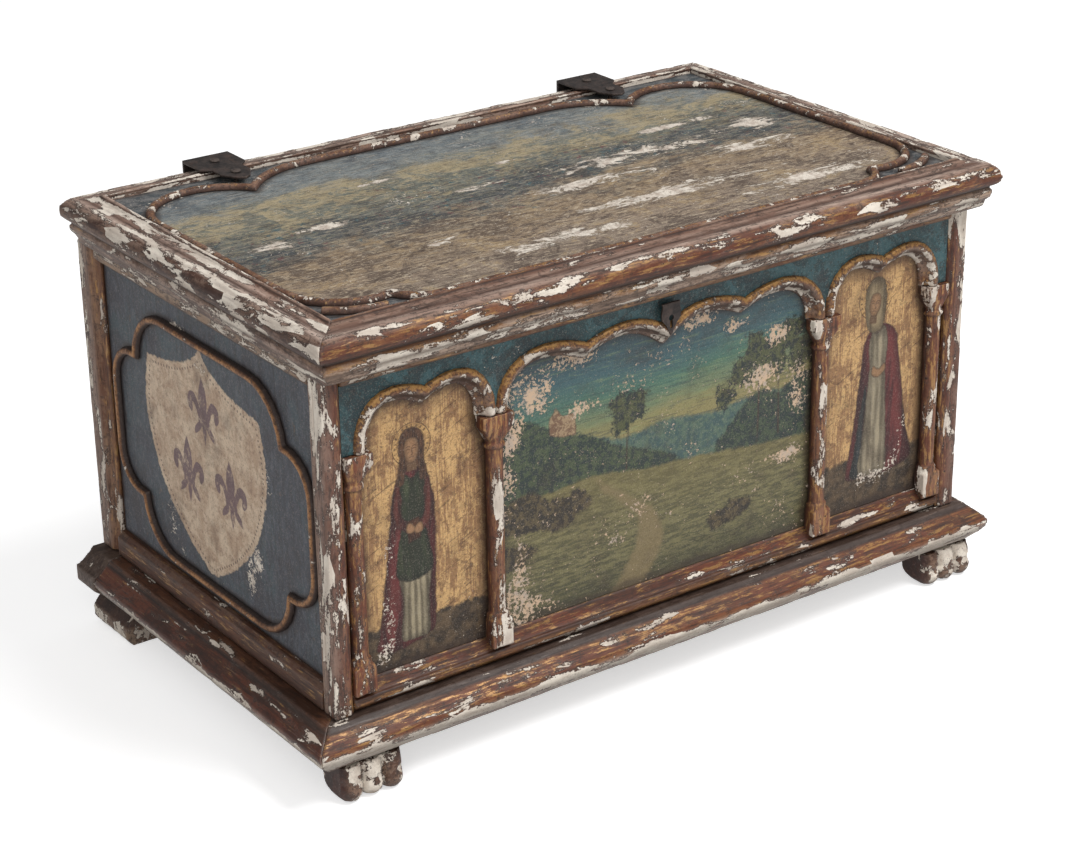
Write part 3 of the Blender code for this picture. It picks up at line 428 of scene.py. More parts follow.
ALONG_X = straight((0.26, 1.0, 1.0))
ALONG_Y = straight((1.0, 0.26, 1.0))
ALONG_Z = straight((1.0, 1.0, 0.30))
EVEN = straight((1.0, 1.0, 1.0))


def between(axis, low, high):
    """Place across a profile, from 0 at low to 1 at high on one axis; x counts from the middle."""

    def zone(paint):
        value = abs(paint.x) if axis == "x" else getattr(paint, axis)
        return (value - low) / (high - low)

    return zone


def profile(node, axis, inwards=False):
    """Place across a solid's own width on one axis, from its low to its high side or the other way."""
    low, high = [getattr(corner, axis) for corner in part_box(node)]
    return between(axis, high, low) if inwards else between(axis, low, high)


def select_only(piece):
    bpy.ops.object.select_all(action="DESELECT")
    piece.select_set(True)
    bpy.context.view_layer.objects.active = piece


def apply_modifier(piece, kind, name, **settings):
    change = piece.modifiers.new(name, kind)
    for key, value in settings.items():
        setattr(change, key, value)
    select_only(piece)
    bpy.ops.object.modifier_apply(modifier=change.name)


def chip_tree(name, field, share, plump):
    """Modifier tree that lets the surface wander, sinks it where the paint is off, and closes the joints."""
    tree = bpy.data.node_groups.new(name, "GeometryNodeTree")
    tree.interface.new_socket("Geometry", in_out="INPUT", socket_type="NodeSocketGeometry")
    tree.interface.new_socket("Geometry", in_out="OUTPUT", socket_type="NodeSocketGeometry")
    paint = Paint(tree)
    slow = paint.mottle(26, 2, 0.5)
    quick = paint.mottle(105, 2, 0.5)
    sink = (slow * 0.6 + quick * 0.4) * (wear().waviness * share)
    if field:
        sink = sink + paint.step(field(paint), 0.48, 0.53) * (wear().flake_depth * share)
    normal = paint.node("GeometryNodeInputNormal")
    upright = paint.node("ShaderNodeSeparateXYZ", sockets={0: normal}, output="Z")
    swell = paint.step(abs(upright), 0.95, 0.80) * (wear().waviness * share * 0.8) + plump
    offset = paint.node("ShaderNodeVectorMath", {"operation": "SCALE"}, {0: normal, "Scale": swell - sink})
    inlet = paint.node("NodeGroupInput")
    moved = paint.node("GeometryNodeSetPosition", sockets={"Geometry": inlet, "Offset": offset})
    paint.node("NodeGroupOutput", sockets={0: moved})
    return tree


def merged_copy(node, name):
    """A piece of its own from a solid's mesh, with its loose triangles joined up."""
    mesh = frame["nodes"][node].data.copy()
    mesh.name = name
    mesh.materials.clear()
    piece = bpy.data.objects.new(name, mesh)
    bpy.context.scene.collection.objects.link(piece)
    select_only(piece)
    bpy.ops.object.mode_set(mode="EDIT")
    bpy.ops.mesh.select_all(action="SELECT")
    bpy.ops.mesh.remove_doubles(threshold=WELD)
    bpy.ops.object.mode_set(mode="OBJECT")
    return piece


def worn_piece(node, voxel, finish, field=None, share=1.0, plump=0.0):
    """Puts a finely meshed, chipped and softened piece in the place of a solid."""
    piece = merged_copy(node, f"worn_{node}")
    apply_modifier(piece, "REMESH", "even skin", mode="VOXEL", voxel_size=voxel)
    facing = np.empty(len(piece.data.vertices) * 3, np.float32)
    piece.data.vertex_normals.foreach_get("vector", facing)
    keep(piece, "tilt", facing[2::3])
    apply_modifier(piece, "NODES", "chips", node_group=chip_tree(f"{node}_chips", field, share, plump))
    select_only(piece)
    bpy.ops.object.shade_smooth()
    piece.data.materials.append(finish)
    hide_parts(node)
    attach(piece, BODY_OF[node])
    return piece


def coated(node, voxel, coat, share=1.0, plump=0.0):
    return worn_piece(node, voxel, coat.finish, coat.flaking, share, plump)


def dress(node, finish):
    """Gives a solid that stays as it is a better finish."""
    solid = frame["nodes"][node]
    for slot in solid.material_slots:
        slot.material = finish


# Drawing on the painted panels, in millimetres


def smooth_line(points, closed=True, steps=6):
    """A flowing line through a few drawn points."""
    drawn = np.array(points, float)
    count = len(drawn)
    spans = count if closed else count - 1
    line = []
    for i in range(spans):
        near = [(i + k) % count if closed else min(max(i + k, 0), count - 1) for k in (-1, 0, 1, 2)]
        a, b, c, d = drawn[near]
        for t in np.linspace(0, 1, steps, endpoint=False):
            square = (2 * a - 5 * b + 4 * c - d) * t**2
            cube = (3 * b - a - 3 * c + d) * t**3
            line.append(0.5 * (2 * b + (c - a) * t + square + cube))
    if not closed:
        line.append(drawn[-1])
    return np.array(line)


def span_distance(places, line, closed):
    """Distance of each place from a line, and how far along it the nearest point lies."""
    starts = line if closed else line[:-1]
    ends = np.roll(line, -1, axis=0) if closed else line[1:]
    best = np.full(len(places), 1e9)
    along = np.zeros(len(places))
    run = 0.0
    for start, end in zip(starts, ends):
        way = end - start
        length = math.hypot(*way) or 1e-9
        t = np.clip(((places - start) @ way) / length**2, 0, 1)
        gap = np.hypot(*(places - start - t[:, None] * way).T)
        nearer = gap < best
        best = np.where(nearer, gap, best)
        along = np.where(nearer, run + t * length, along)
        run += length
    return best, along


def inside(places, line):
    """Whether each place lies within a closed line."""
    x, y = places.T
    odd = np.zeros(len(places), bool)
    for (ax, ay), (bx, by) in zip(line, np.roll(line, -1, axis=0)):
        if ay != by:
            crosses = (ay > y) != (by > y)
            odd ^= crosses & (x < (bx - ax) * (y - ay) / (by - ay) + ax)
    return odd


def depth_in(places, *lines):
    """Distance from the nearest of some closed lines, negative within them."""
    best = np.full(len(places), 1e9)
    for line in lines:
        gap, _ = span_distance(places, line, True)
        best = np.minimum(best, np.where(inside(places, line), -gap, gap))
    return best


def stroke(places, *lines):
    """Distance from the nearest of some open lines."""
    return np.min([span_distance(places, line, False)[0] for line in lines], axis=0)


def mirrored(points):
    """Closes a right half, drawn from the top down, with its mirror image."""
    return list(points) + [(-x, y) for x, y in reversed(points)]


def paint_skin(name, centre, width, height, turn, spacing, fine=None):
    """A thin layer of gesso and paint over a panel; fine lists (middle, reach) where the mesh gets closer."""
    bpy.ops.object.select_all(action="DESELECT")
    bpy.ops.mesh.primitive_grid_add(
        x_subdivisions=round(width / spacing),
        y_subdivisions=round(height / spacing),
        size=1,
        location=centre,
        rotation=turn,
    )
    piece = bpy.context.object
    piece.name = name
    piece.data.name = name
    piece.scale = (width, height, 1)
    bpy.ops.object.transform_apply(location=True, rotation=True, scale=True)
    for middle, reach in fine or ():
        bpy.ops.object.mode_set(mode="EDIT")
        bpy.ops.mesh.select_mode(type="FACE")
        bpy.ops.mesh.select_all(action="DESELECT")
        bpy.ops.object.mode_set(mode="OBJECT")
        for face in piece.data.polygons:
            face.select = all(abs(face.center[i] - middle[i]) < reach[i] for i in range(3))
        bpy.ops.object.mode_set(mode="EDIT")
        bpy.ops.mesh.subdivide(number_cuts=1)
        bpy.ops.object.mode_set(mode="OBJECT")
    apply_modifier(piece, "SOLIDIFY", "layer", thickness=PAINT_LAYER, offset=-1)
    return piece


def places_on(piece, across, up, origin):
    """The piece's points as (across, up) in millimetres from an origin; across and up are unit vectors."""
    points = np.empty(len(piece.data.vertices) * 3, np.float32)
    piece.data.vertices.foreach_get("co", points)
    points = points.reshape(-1, 3).astype(float) - np.array(origin, float)
    return np.stack([points @ np.array(across, float), points @ np.array(up, float)], axis=1) * 1000


def keep(piece, name, values):
    layer = piece.data.attributes.new(name, "FLOAT", "POINT")
    layer.data.foreach_set("value", np.asarray(values, np.float32))


def gap_to(piece, nodes):
    """How far each point of a piece lies from the nearest of some solids, in millimetres."""
    trees = []
    for node in nodes:
        mesh = frame["nodes"][node].data
        trees.append(BVHTree.FromPolygons([v.co for v in mesh.vertices], [p.vertices for p in mesh.polygons]))
    return [1000 * min(tree.find_nearest(v.co)[3] for tree in trees) for v in piece.data.vertices]


def painted(piece, finish, body):
    piece.data.materials.append(finish)
    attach(piece, body)


def worn_picture(paint, colour, specks, patches, cream=None, reach=6.5):
    """Soils a painting and lets small cream flakes and larger bare patches show; both shares are biases.
    reach is how far the grime and painted shade beside the mouldings come, in millimetres."""
    kit = shades()
    soot = paint.mottle(42, 6, 0.70)
    colour = paint.wash(colour, kit.umber, soot, 0.48, 0.74, 0.45)
    cracks = paint.mottle(700, 3, 0.65)
    colour = paint.wash(colour, kit.umber, cracks, 0.58, 0.70, 0.35)
    grain = paint.mottle(1100, 3, 0.66)
    colour = paint.wash(colour, kit.umber, grain, 0.52, 0.68, 0.35)
    colour = paint.wash(colour, kit.old_gesso, grain, 0.47, 0.32, 0.22)
    if reach:
        # Painted shade and grime beside the mouldings: umber within reach of them
        grime = paint.step(paint.attribute("rim") + (soot - 0.5) * 2.5 * reach, reach, 0.2)
        colour = paint.mix(grime * 0.65, colour, kit.umber)
    where = paint.mottle(30, 4, 0.65)
    dots = paint.mottle(430, 5, 0.72) + (where - 0.5) * 0.55 + specks
    dots = paint.step(dots, 0.655, 0.680)
    broad = paint.mottle(75, 8, 0.74, 0.4) + (cracks - 0.5) * 0.25
    worn = paint.step(broad + patches, 0.660, 0.682)
    bare = dots.most(worn)
    soil = paint.step(paint.mottle(210, 5, 0.68), 0.40, 0.66)
    ground = paint.mix(soil, cream or kit.gesso, kit.old_gesso)
    rim = paint.step(broad + patches, 0.59, 0.66) * (1 - bare)
    colour = paint.mix(rim * 0.35, colour, kit.old_gesso)
    return paint.mix(bare, colour, ground), bare


def patched(paint, colour, shade, field, level, where=1.0):
    """Crisp-edged patches of a colour where a field passes a level."""
    return paint.mix(paint.step(field, level, level + 0.022) * where, colour, shade)


def patches(paint, colour, *rows):
    """Patches of several colours, one over the other; rows hold a colour, a field, its level and a share."""
    for shade, field, level, share in rows:
        colour = patched(paint, colour, tint(*shade), field, level, share)
    return colour


def uneven(paint):
    """How far a brush strays from a drawn line, in millimetres."""
    coarse = paint.mottle(120, 3, 0.6)
    brush = paint.mottle(520, 3, 0.6)
    return (coarse - 0.5) * 2.6 + (brush - 0.5) * 1.8


def gold_ground(paint):
    """Rubbed gold leaf with the brown of its bole coming through, scratched, and darker near the frame as
    soil and painted shade.
    """
    kit = shades()
    rub = paint.streaks((1, 1, 0.55), 80, 7, 0.72, 0.5)
    upright = paint.streaks((1, 1, 0.06), 800, 3, 0.6)
    worn = paint.step(rub + (upright - 0.5) * 0.5, 0.45, 0.57)
    colour = paint.mix(worn, tint(212, 174, 120), tint(154, 118, 82))
    # Darker brown towards the arches and colonnettes: painted shade of the frame and soil
    edge = paint.attribute("rim") + (rub - 0.5) * 30
    colour = paint.wash(colour, tint(96, 66, 48), edge, 12, 0, 0.65)
    rows = (
        ((106, 75, 54), paint.mottle(110, 8, 0.75, 0.3), 0.555, 0.65),
        ((222, 190, 134), paint.mottle(260, 6, 0.74), 0.57, 0.5),
        ((116, 84, 58), paint.mottle(430, 6, 0.78), 0.54, 0.5),
    )
    colour = patches(paint, colour, *rows)
    slanting = paint.node("ShaderNodeMapping", {}, {"Vector": paint.place, "Rotation": (0, 0.42, 0)})
    scratch = paint.noise(paint.stretch(slanting, (0.05, 1, 1)), 620, 4, 0.66)
    colour = paint.wash(colour, kit.umber, scratch, 0.57, 0.68, 0.6)
    fleck = paint.step(paint.mottle(520, 4, 0.70), 0.60, 0.68)
    return paint.mix(fleck * 0.55, colour, kit.umber)


def halo(paint, colour, middle, radius):
    """A tooled ring with a row of punched dots round a figure's head."""
    dx = (paint.x - middle[0]) * 1000
    dz = (paint.z - middle[1]) * 1000
    away = (dx * dx + dz * dz) ** 0.5
    turn = dx.calc("ARCTAN2", dz, dx)
    dots = (turn * 22).sine() * paint.band(away, radius - 1.8, 0.5, 0.7)
    line = paint.band(away, radius, 0.2, 0.3).most(paint.band(away, radius - 3.6, 0.1, 0.3) * 0.7)
    inner = paint.step(away, radius + 0.3, radius - 0.5)
    colour = paint.mix(inner * 0.35, colour, tint(196, 158, 100))
    faded = paint.step(paint.mottle(160, 5, 0.7), 0.36, 0.52)
    return paint.mix(line.most(paint.step(dots, 0.1, 0.6)) * faded * 0.8, colour, tint(78, 54, 38))


def lay(paint, colour, layer, shade, brush, soft=0.7, line=0.0):
    """Paints a drawn shape over a picture; line is how dark its outline is."""
    depth = paint.attribute(layer) + brush
    colour = paint.mix(paint.step(depth, soft, -soft), colour, shade)
    if line:
        colour = paint.mix(paint.band(depth, 0, 0.2, 0.6) * line, colour, tint(40, 30, 26))
    return colour


def cloth(paint, layer, light, dark, pitch, pleats=0.0):
    """Draped cloth: streaky folds about a pitch wide, shaded towards its edges; pleats makes them regular."""
    drape = paint.streaks((1, 1, 0.16), 1000 / pitch, 4, 0.6, 0.4)
    if pleats:
        sway = (paint.streaks((1, 1, 0.3), 60, 2, 0.5) - 0.5) * 6
        drape = drape + (paint.x * (2000 * math.pi / pitch) + sway).sine() * pleats
    soft = 0.08 + pleats
    shade = paint.mix(paint.step(drape, 0.5 - soft, 0.5 + soft), tint(*dark), tint(*light))
    deep = tint(*[0.5 * c for c in dark])
    shade = paint.wash(shade, deep, paint.attribute(layer), -6.5, -0.3, 0.6)
    rubbed = paint.step(paint.mottle(230, 7, 0.74), 0.55, 0.66)
    return paint.mix(rubbed * 0.4, shade, tint(*[0.6 * c + 44 for c in light]))


# Outlines of the painted figures, in millimetres from the middle of the hem
LEFT_FIGURE = {
    "mantle": [[
        (0, 113), (-8, 110), (-13, 102), (-16, 85), (-19, 60), (-23, 32), (-27, 8), (-29, -1), (-18, -5),
        (-4, -3), (7, 0), (13, 5), (14, 30), (15, 60), (15, 85), (12, 102), (8, 110),
    ]],
    "skirt": [[(-10, 46), (-9, 25), (-11, 3), (-4, 0), (4, 0), (9, 3), (9, 25), (10, 46)]],
    "tunic": [[
        (-6, 109), (-10, 97), (-9, 78), (-12, 58), (-13, 44), (-1, 39), (12, 44), (11, 60), (8, 78),
        (9, 97), (6, 109), (0, 106),
    ]],
    "hair": [[
        (0, 138), (-6, 136), (-9, 129), (-8.5, 120), (-10, 111), (-11, 104), (-6, 104), (-4, 112), (4, 112),
        (6, 104), (11, 104), (10, 111), (8.5, 120), (9, 129), (6, 136),
    ]],
    "sleeves": [
        [(-11, 103), (-14, 88), (-11, 76), (-3, 71), (-1, 76), (-8, 82), (-8, 96)],
        [(11, 103), (14, 88), (11, 75), (4, 70), (2, 75), (8, 82), (8, 96)],
    ],
    "hands": [
        [(-5, 71), (-1, 70), (1, 73), (-2, 77), (-5, 76)],
        [(6, 70), (2, 69), (0, 72), (3, 76), (6, 75)],
    ],
}
LEFT_BOOK = [(-4, 64), (5, 66), (4, 80), (-5, 78)]
LEFT_FLECKS = [(-13, 95), (-17, 70), (-16, 45), (-20, 25), (-17, 8), (-24, -6)]
RIGHT_FIGURE = {
    "mantle": [[
        (0, 105), (-7, 103), (-12, 96), (-15, 80), (-18, 55), (-22, 25), (-26, 0), (-15, -4), (0, -5),
        (16, -4), (32, 2), (27, 25), (22, 55), (18, 80), (15, 96), (8, 103),
    ]],
    "gown": [[
        (-5, 103), (-9, 92), (-8, 75), (-10, 50), (-13, 20), (-15, -1), (-2, -4), (9, -2), (9, 20), (7, 50),
        (6, 75), (7, 92), (4, 103), (-1, 99),
    ]],
    "lining": [[(-12, 60), (-16, 40), (-20, 12), (-22, 0), (-14, -2), (-12, 25), (-10, 60)]],
    "veil": [[
        (-4, 139), (-11, 135), (-14, 125), (-13, 113), (-11, 104), (-6, 100), (1, 101), (4, 110), (5, 122),
        (3, 134),
    ]],
    "hands": [[(-6, 70), (0, 67), (6, 71), (5, 76), (0, 73), (-5, 76)]],
}
RIGHT_FLECKS = [(24, 30), (20, 10), (8, -4), (-14, -4)]
FACE = smooth_line(mirrored([(0.1, 8.2), (3.6, 7), (5.1, 2.5), (4.4, -3.5), (2, -7.4)]))
FACE_LINES = (
    [(-3.6, 2.2), (-2.2, 2.9), (-0.9, 2.3)],
    [(0.9, 2.3), (2.2, 2.9), (3.6, 2.2)],
    [(-3.2, 0.9), (-2.1, 1.2), (-1.2, 0.8)],
    [(1.2, 0.8), (2.1, 1.2), (3.2, 0.9)],
    [(0.5, 1.6), (0.4, -1.0), (0.9, -2.2), (0.0, -2.6)],
    [(-1.6, -4.5), (0, -4.3), (1.6, -4.5)],
)
NECK = [(-2.8, -6), (-3.4, -13), (3.4, -13), (2.8, -6)]
# Clothes in the order they are painted: layer, light colour (None for the mantles' crimson), dark colour,
# pitch of the folds, pleats, share of the brush's straying, softness, outline
LEFT_CLOTHES = (
    ("mantle", None, (58, 24, 27), 9, 0, 1, 0.7, 0.35),
    ("skirt", (168, 158, 132), (104, 96, 78), 4.4, 0.14, 1, 0.7, 0.35),
    ("tunic", (70, 80, 56), (38, 45, 34), 12, 0, 1, 0.7, 0.35),
    ("sleeves", (124, 64, 56), (70, 36, 34), 6, 0, 1, 0.6, 0.35),
    ("book", (104, 66, 46), (60, 38, 30), 4, 0, 0.5, 0.5, 0.5),
)
RIGHT_CLOTHES = (
    ("mantle", None, (64, 28, 31), 10, 0, 1, 0.7, 0.35),
    ("lining", (56, 66, 70), (34, 42, 46), 7, 0, 1, 0.7, 0.25),
    ("gown", (166, 156, 132), (112, 104, 86), 5.4, 0.10, 1, 0.7, 0.35),
    ("veil", (150, 134, 104), (112, 98, 74), 7, 0, 1, 0.7, 0.35),
)
# Each niche: its colonnettes, the figure's foot, head and tilt in millimetres and degrees, the height of the
# floor, the halo's radius and height, the face's colour, and how bare the paint is from the sill up
NICHES = {
    "left": {
        "columns": (1, 2), "foot": (-7.5, 14.5), "head": (0, 123.5), "tilt": 0,
        "floor": 13.5, "halo": (13.4, 127.5),
        "figure": LEFT_FIGURE, "flecks": LEFT_FLECKS, "clothes": LEFT_CLOTHES, "skin": (158, 122, 90),
        "bareness": [(0, -0.02), (0.25, -0.08), (0.5, -0.14), (1, -0.15)],
    },
    "right": {
        "columns": (3, 4), "foot": (6, 24), "head": (-5, 119.5), "tilt": -8,
        "floor": 12, "halo": (14, 123.5),
        "figure": RIGHT_FIGURE, "flecks": RIGHT_FLECKS, "clothes": RIGHT_CLOTHES, "skin": (152, 118, 86),
        "bareness": [(0, -0.03), (0.3, -0.10), (0.6, -0.14), (1, -0.14)],
    },
}


def turned(points, middle, degrees, size=1.0):
    """Drawn points put at a middle, tilted and sized."""
    a = math.radians(degrees)
    drawn = np.array(points, float) * size
    spun = drawn @ np.array([[math.cos(a), math.sin(a)], [-math.sin(a), math.cos(a)]])
    return spun + np.array(middle, float)


def niche_columns(left, right):
    """The middles of the colonnettes on both sides of a bay."""
    return [sum(corner.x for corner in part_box(f"colonnette_{number}")) / 2 for number in (left, right)]


def bay_skin(name, columns, spacing, fine=None):
    """Paint layer of the bay between two colonnettes."""
    centre = (sum(columns) / 2, PANEL_SKIN_Y, (BAY_LOW + BAY_HIGH) / 2)
    return paint_skin(name, centre, columns[1] - columns[0], BAY_HIGH - BAY_LOW, FRONT_TURN, spacing, fine)


def figure_panel(side, columns, foot):
    """Layer of one niche with the outlines of its figure, kept as distances on the mesh."""
    niche = NICHES[side]
    head, tilt = niche["head"], niche["tilt"]
    body = ((foot[0], PANEL_Y, foot[1] + 0.068), (0.038, 1, 0.080))
    face = ((foot[0] + head[0] / 1000, PANEL_Y, foot[1] + head[1] / 1000), (0.011, 1, 0.013))
    piece = bay_skin(f"{side}_niche_painting", columns, FIGURE_SPACING, (body, face, face))
    places = places_on(piece, (1, 0, 0), (0, 0, 1), (foot[0], 0, foot[1]))
    for layer, outlines in niche["figure"].items():
        keep(piece, layer, depth_in(places, *[smooth_line(points) for points in outlines]))
    if side == "left":
        keep(piece, "book", depth_in(places, np.array(LEFT_BOOK, float)))
    keep(piece, "face", depth_in(places, turned(FACE, head, tilt)))
    lines = [smooth_line(turned(line, head, tilt), False) for line in FACE_LINES]
    keep(piece, "face_lines", stroke(places, *lines))
    keep(piece, "neck", depth_in(places, turned(NECK, head, tilt)))
    keep(piece, "flecks", stroke(places, smooth_line(niche["flecks"], False)))
    keep(piece, "rim", gap_to(piece, ARCADE))
    return piece


def face_and_hands(paint, colour, shade, brush):
    """Face, neck and hands of a painted figure."""
    light, dark = tint(*shade), tint(*[0.66 * c for c in shade])
    colour = lay(paint, colour, "neck", dark, brush * 0.4, 0.5)
    skin = paint.wash(light, dark, paint.attribute("face"), -3.4, -0.2, 0.75)
    skin = paint.wash(skin, dark, paint.mottle(420, 4, 0.66), 0.45, 0.70, 0.4)
    colour = lay(paint, colour, "face", skin, brush * 0.35, 0.5, 0.3)
    lines = paint.step(paint.attribute("face_lines"), 0.62, 0.10)
    colour = paint.mix(lines * 0.62, colour, tint(66, 42, 33))
    hands = paint.wash(light, dark, paint.attribute("hands"), -1.8, 0, 0.6)
    return lay(paint, colour, "hands", hands, brush * 0.4, 0.5, 0.35)


def niche_floor(paint, colour, height):
    """Dark trodden ground under a figure."""
    rough = paint.mottle(130, 6, 0.70)
    line = (paint.z - height) * 1000 + (rough - 0.5) * 9
    shade = paint.mix(paint.step(rough, 0.38, 0.64), tint(44, 37, 30), tint(98, 82, 62))
    return paint.mix(paint.step(line, 1.4, -1.4), colour, shade)


def finish_niche(paint, colour, specks):
    """Varnish, losses and gloss that both niches share."""
    colour = paint.mix(0.4, colour, (0.82, 0.74, 0.68), "MULTIPLY")
    flecks = paint.step(paint.attribute("flecks"), 10, 1) * 0.16
    colour, bare = worn_picture(paint, colour, specks + flecks, -0.17)
    rough = paint.mottle(240, 5, 0.66)
    height = rough * 0.5 - bare * 0.6
    paint.surface(colour, 0.40 + rough * 0.3 + bare * 0.2, (1 - bare) * 0.15, height, 0.0004)


def figure_finish(side, foot):
    made, paint = new_finish(f"{side}_niche_paint")
    niche = NICHES[side]
    brush = uneven(paint)
    colour = niche_floor(paint, gold_ground(paint), foot[1] + niche["floor"] / 1000)
    radius, height = niche["halo"]
    colour = halo(paint, colour, (foot[0] + niche["head"][0] / 1000, foot[1] + height / 1000), radius)
    crimson = [255 * c ** (1 / 2.2) for c in shades().crimson]
    for layer, light, dark, pitch, pleats, stray, soft, line in niche["clothes"]:
        draped = cloth(paint, layer, light or crimson, dark, pitch, pleats)
        colour = lay(paint, colour, layer, draped, brush * stray, soft, line)
    if side == "left":
        strands = paint.streaks((1, 1, 0.2), 900, 3, 0.6)
        locks = paint.mix(paint.step(strands, 0.38, 0.62), tint(50, 34, 26), tint(92, 64, 46))
        colour = lay(paint, colour, "hair", locks, brush, 0.6, 0.3)
    colour = face_and_hands(paint, colour, niche["skin"], brush)
    finish_niche(paint, colour, paint.levels((paint.z - SILL_TOP) / 0.18, niche["bareness"]))
    return made


class CASKET_OT_niches(bpy.types.Operator):
    """Paint the robed figures in the side niches"""

    bl_idname = "casket.niches"
    bl_label = "Niches"

    def execute(self, context):
        for side, niche in NICHES.items():
            columns = niche_columns(*niche["columns"])
            across, up = niche["foot"]
            foot = (sum(columns) / 2 + across / 1000, SILL_TOP + up / 1000)
            painted(figure_panel(side, columns, foot), figure_finish(side, foot), "case")
        return {"FINISHED"}


# Landscape of the middle bay, in millimetres from the middle of the picture
LAND = {
    "far_hills": [
        (-140, 34), (-110, 40), (-88, 33), (-60, 42), (-30, 34), (5, 38), (40, 33), (80, 36), (140, 31),
    ],
    "hill": [
        (-140, 62), (-118, 68), (-98, 62), (-78, 50), (-58, 44), (-40, 34), (-18, 24), (4, 16), (24, 0),
        (40, -20),
    ],
    "wood": [(34, -20), (44, 8), (56, 20), (68, 32), (82, 38), (98, 33), (114, 42), (140, 40)],
    "lawn": [(-140, 8), (-90, 12), (-50, 14), (-10, 8), (30, 6), (80, 0), (140, -4)],
}
CROWNS = (
    (-30, 46, 9), (-20, 54, 10), (-33, 57, 8), (66, 54, 10), (78, 66, 13), (93, 60, 13), (106, 72, 11),
    (116, 56, 12), (52, 40, 8),
)
TRUNKS = ([(-27, 12), (-26, 40), (-24, 54)], [(79, 2), (80, 40), (79, 64)], [(97, 4), (96, 40), (94, 60)])
TRACK = [
    (-52, -100), (-18, -100), (-12, -70), (2, -46), (-4, -24), (-24, -8), (-40, 4), (-50, 12), (-46, 3),
    (-30, -10), (-18, -24), (-20, -44), (-38, -70),
]
CHAPEL = [(-86, 50), (-86, 61), (-81, 68), (-76, 61), (-66, 61), (-66, 46), (-76, 47)]
BUSHES = (
    (52, -44, 15, 6), (64, -40, 10, 7), (-104, 2, 24, 13), (-84, -4, 20, 11), (-66, 0, 12, 8),
    (24, -78, 12, 5), (-112, -24, 14, 8),
)
SKY = (
    (0.00, (140, 126, 82)), (0.18, (136, 130, 86)), (0.34, (106, 120, 90)), (0.50, (72, 108, 92)),
    (0.68, (58, 90, 96)), (1.00, (46, 70, 80)),
)
# Middle, half width and half height of the places where the ground shows most
LANDSCAPE_LOSSES = (
    (-98, 82, 26, 18), (-66, 96, 20, 9), (-118, 30, 10, 46), (-112, -40, 14, 44), (34, 98, 22, 7),
    (60, 88, 14, 7), (84, 46, 20, 15), (112, 34, 12, 26), (100, -14, 20, 6), (-60, 62, 16, 8),
    (-90, -84, 40, 10), (60, -86, 50, 7), (-112, 60, 12, 22), (96, 74, 14, 8), (-104, -64, 22, 16),
)


def blob(x, y, wide, tall=None):
    """A rounded clump, a little uneven."""
    tall = tall or wide
    points = []
    for i in range(9):
        a = 2 * math.pi * i / 9
        swell = 1 + 0.14 * math.sin(3 * a + x) + 0.08 * math.sin(5 * a + y)
        points.append((x + wide * swell * math.cos(a), y + tall * swell * math.sin(a)))
    return smooth_line(points)


def under(points, floor=-120):
    """Everything below a skyline."""
    line = smooth_line(points, False)
    return np.vstack([line, [(line[-1][0], floor), (line[0][0], floor)]])


def losses_at(places, spots):
    """How deep each place lies in the nearest worn spot, from 0 at its edge to 1 in its middle."""
    x, y = places.T
    depths = [1 - np.hypot((x - a) / wide, (y - b) / tall) for a, b, wide, tall in spots]
    return np.maximum(np.max(depths, axis=0), 0) ** 0.6


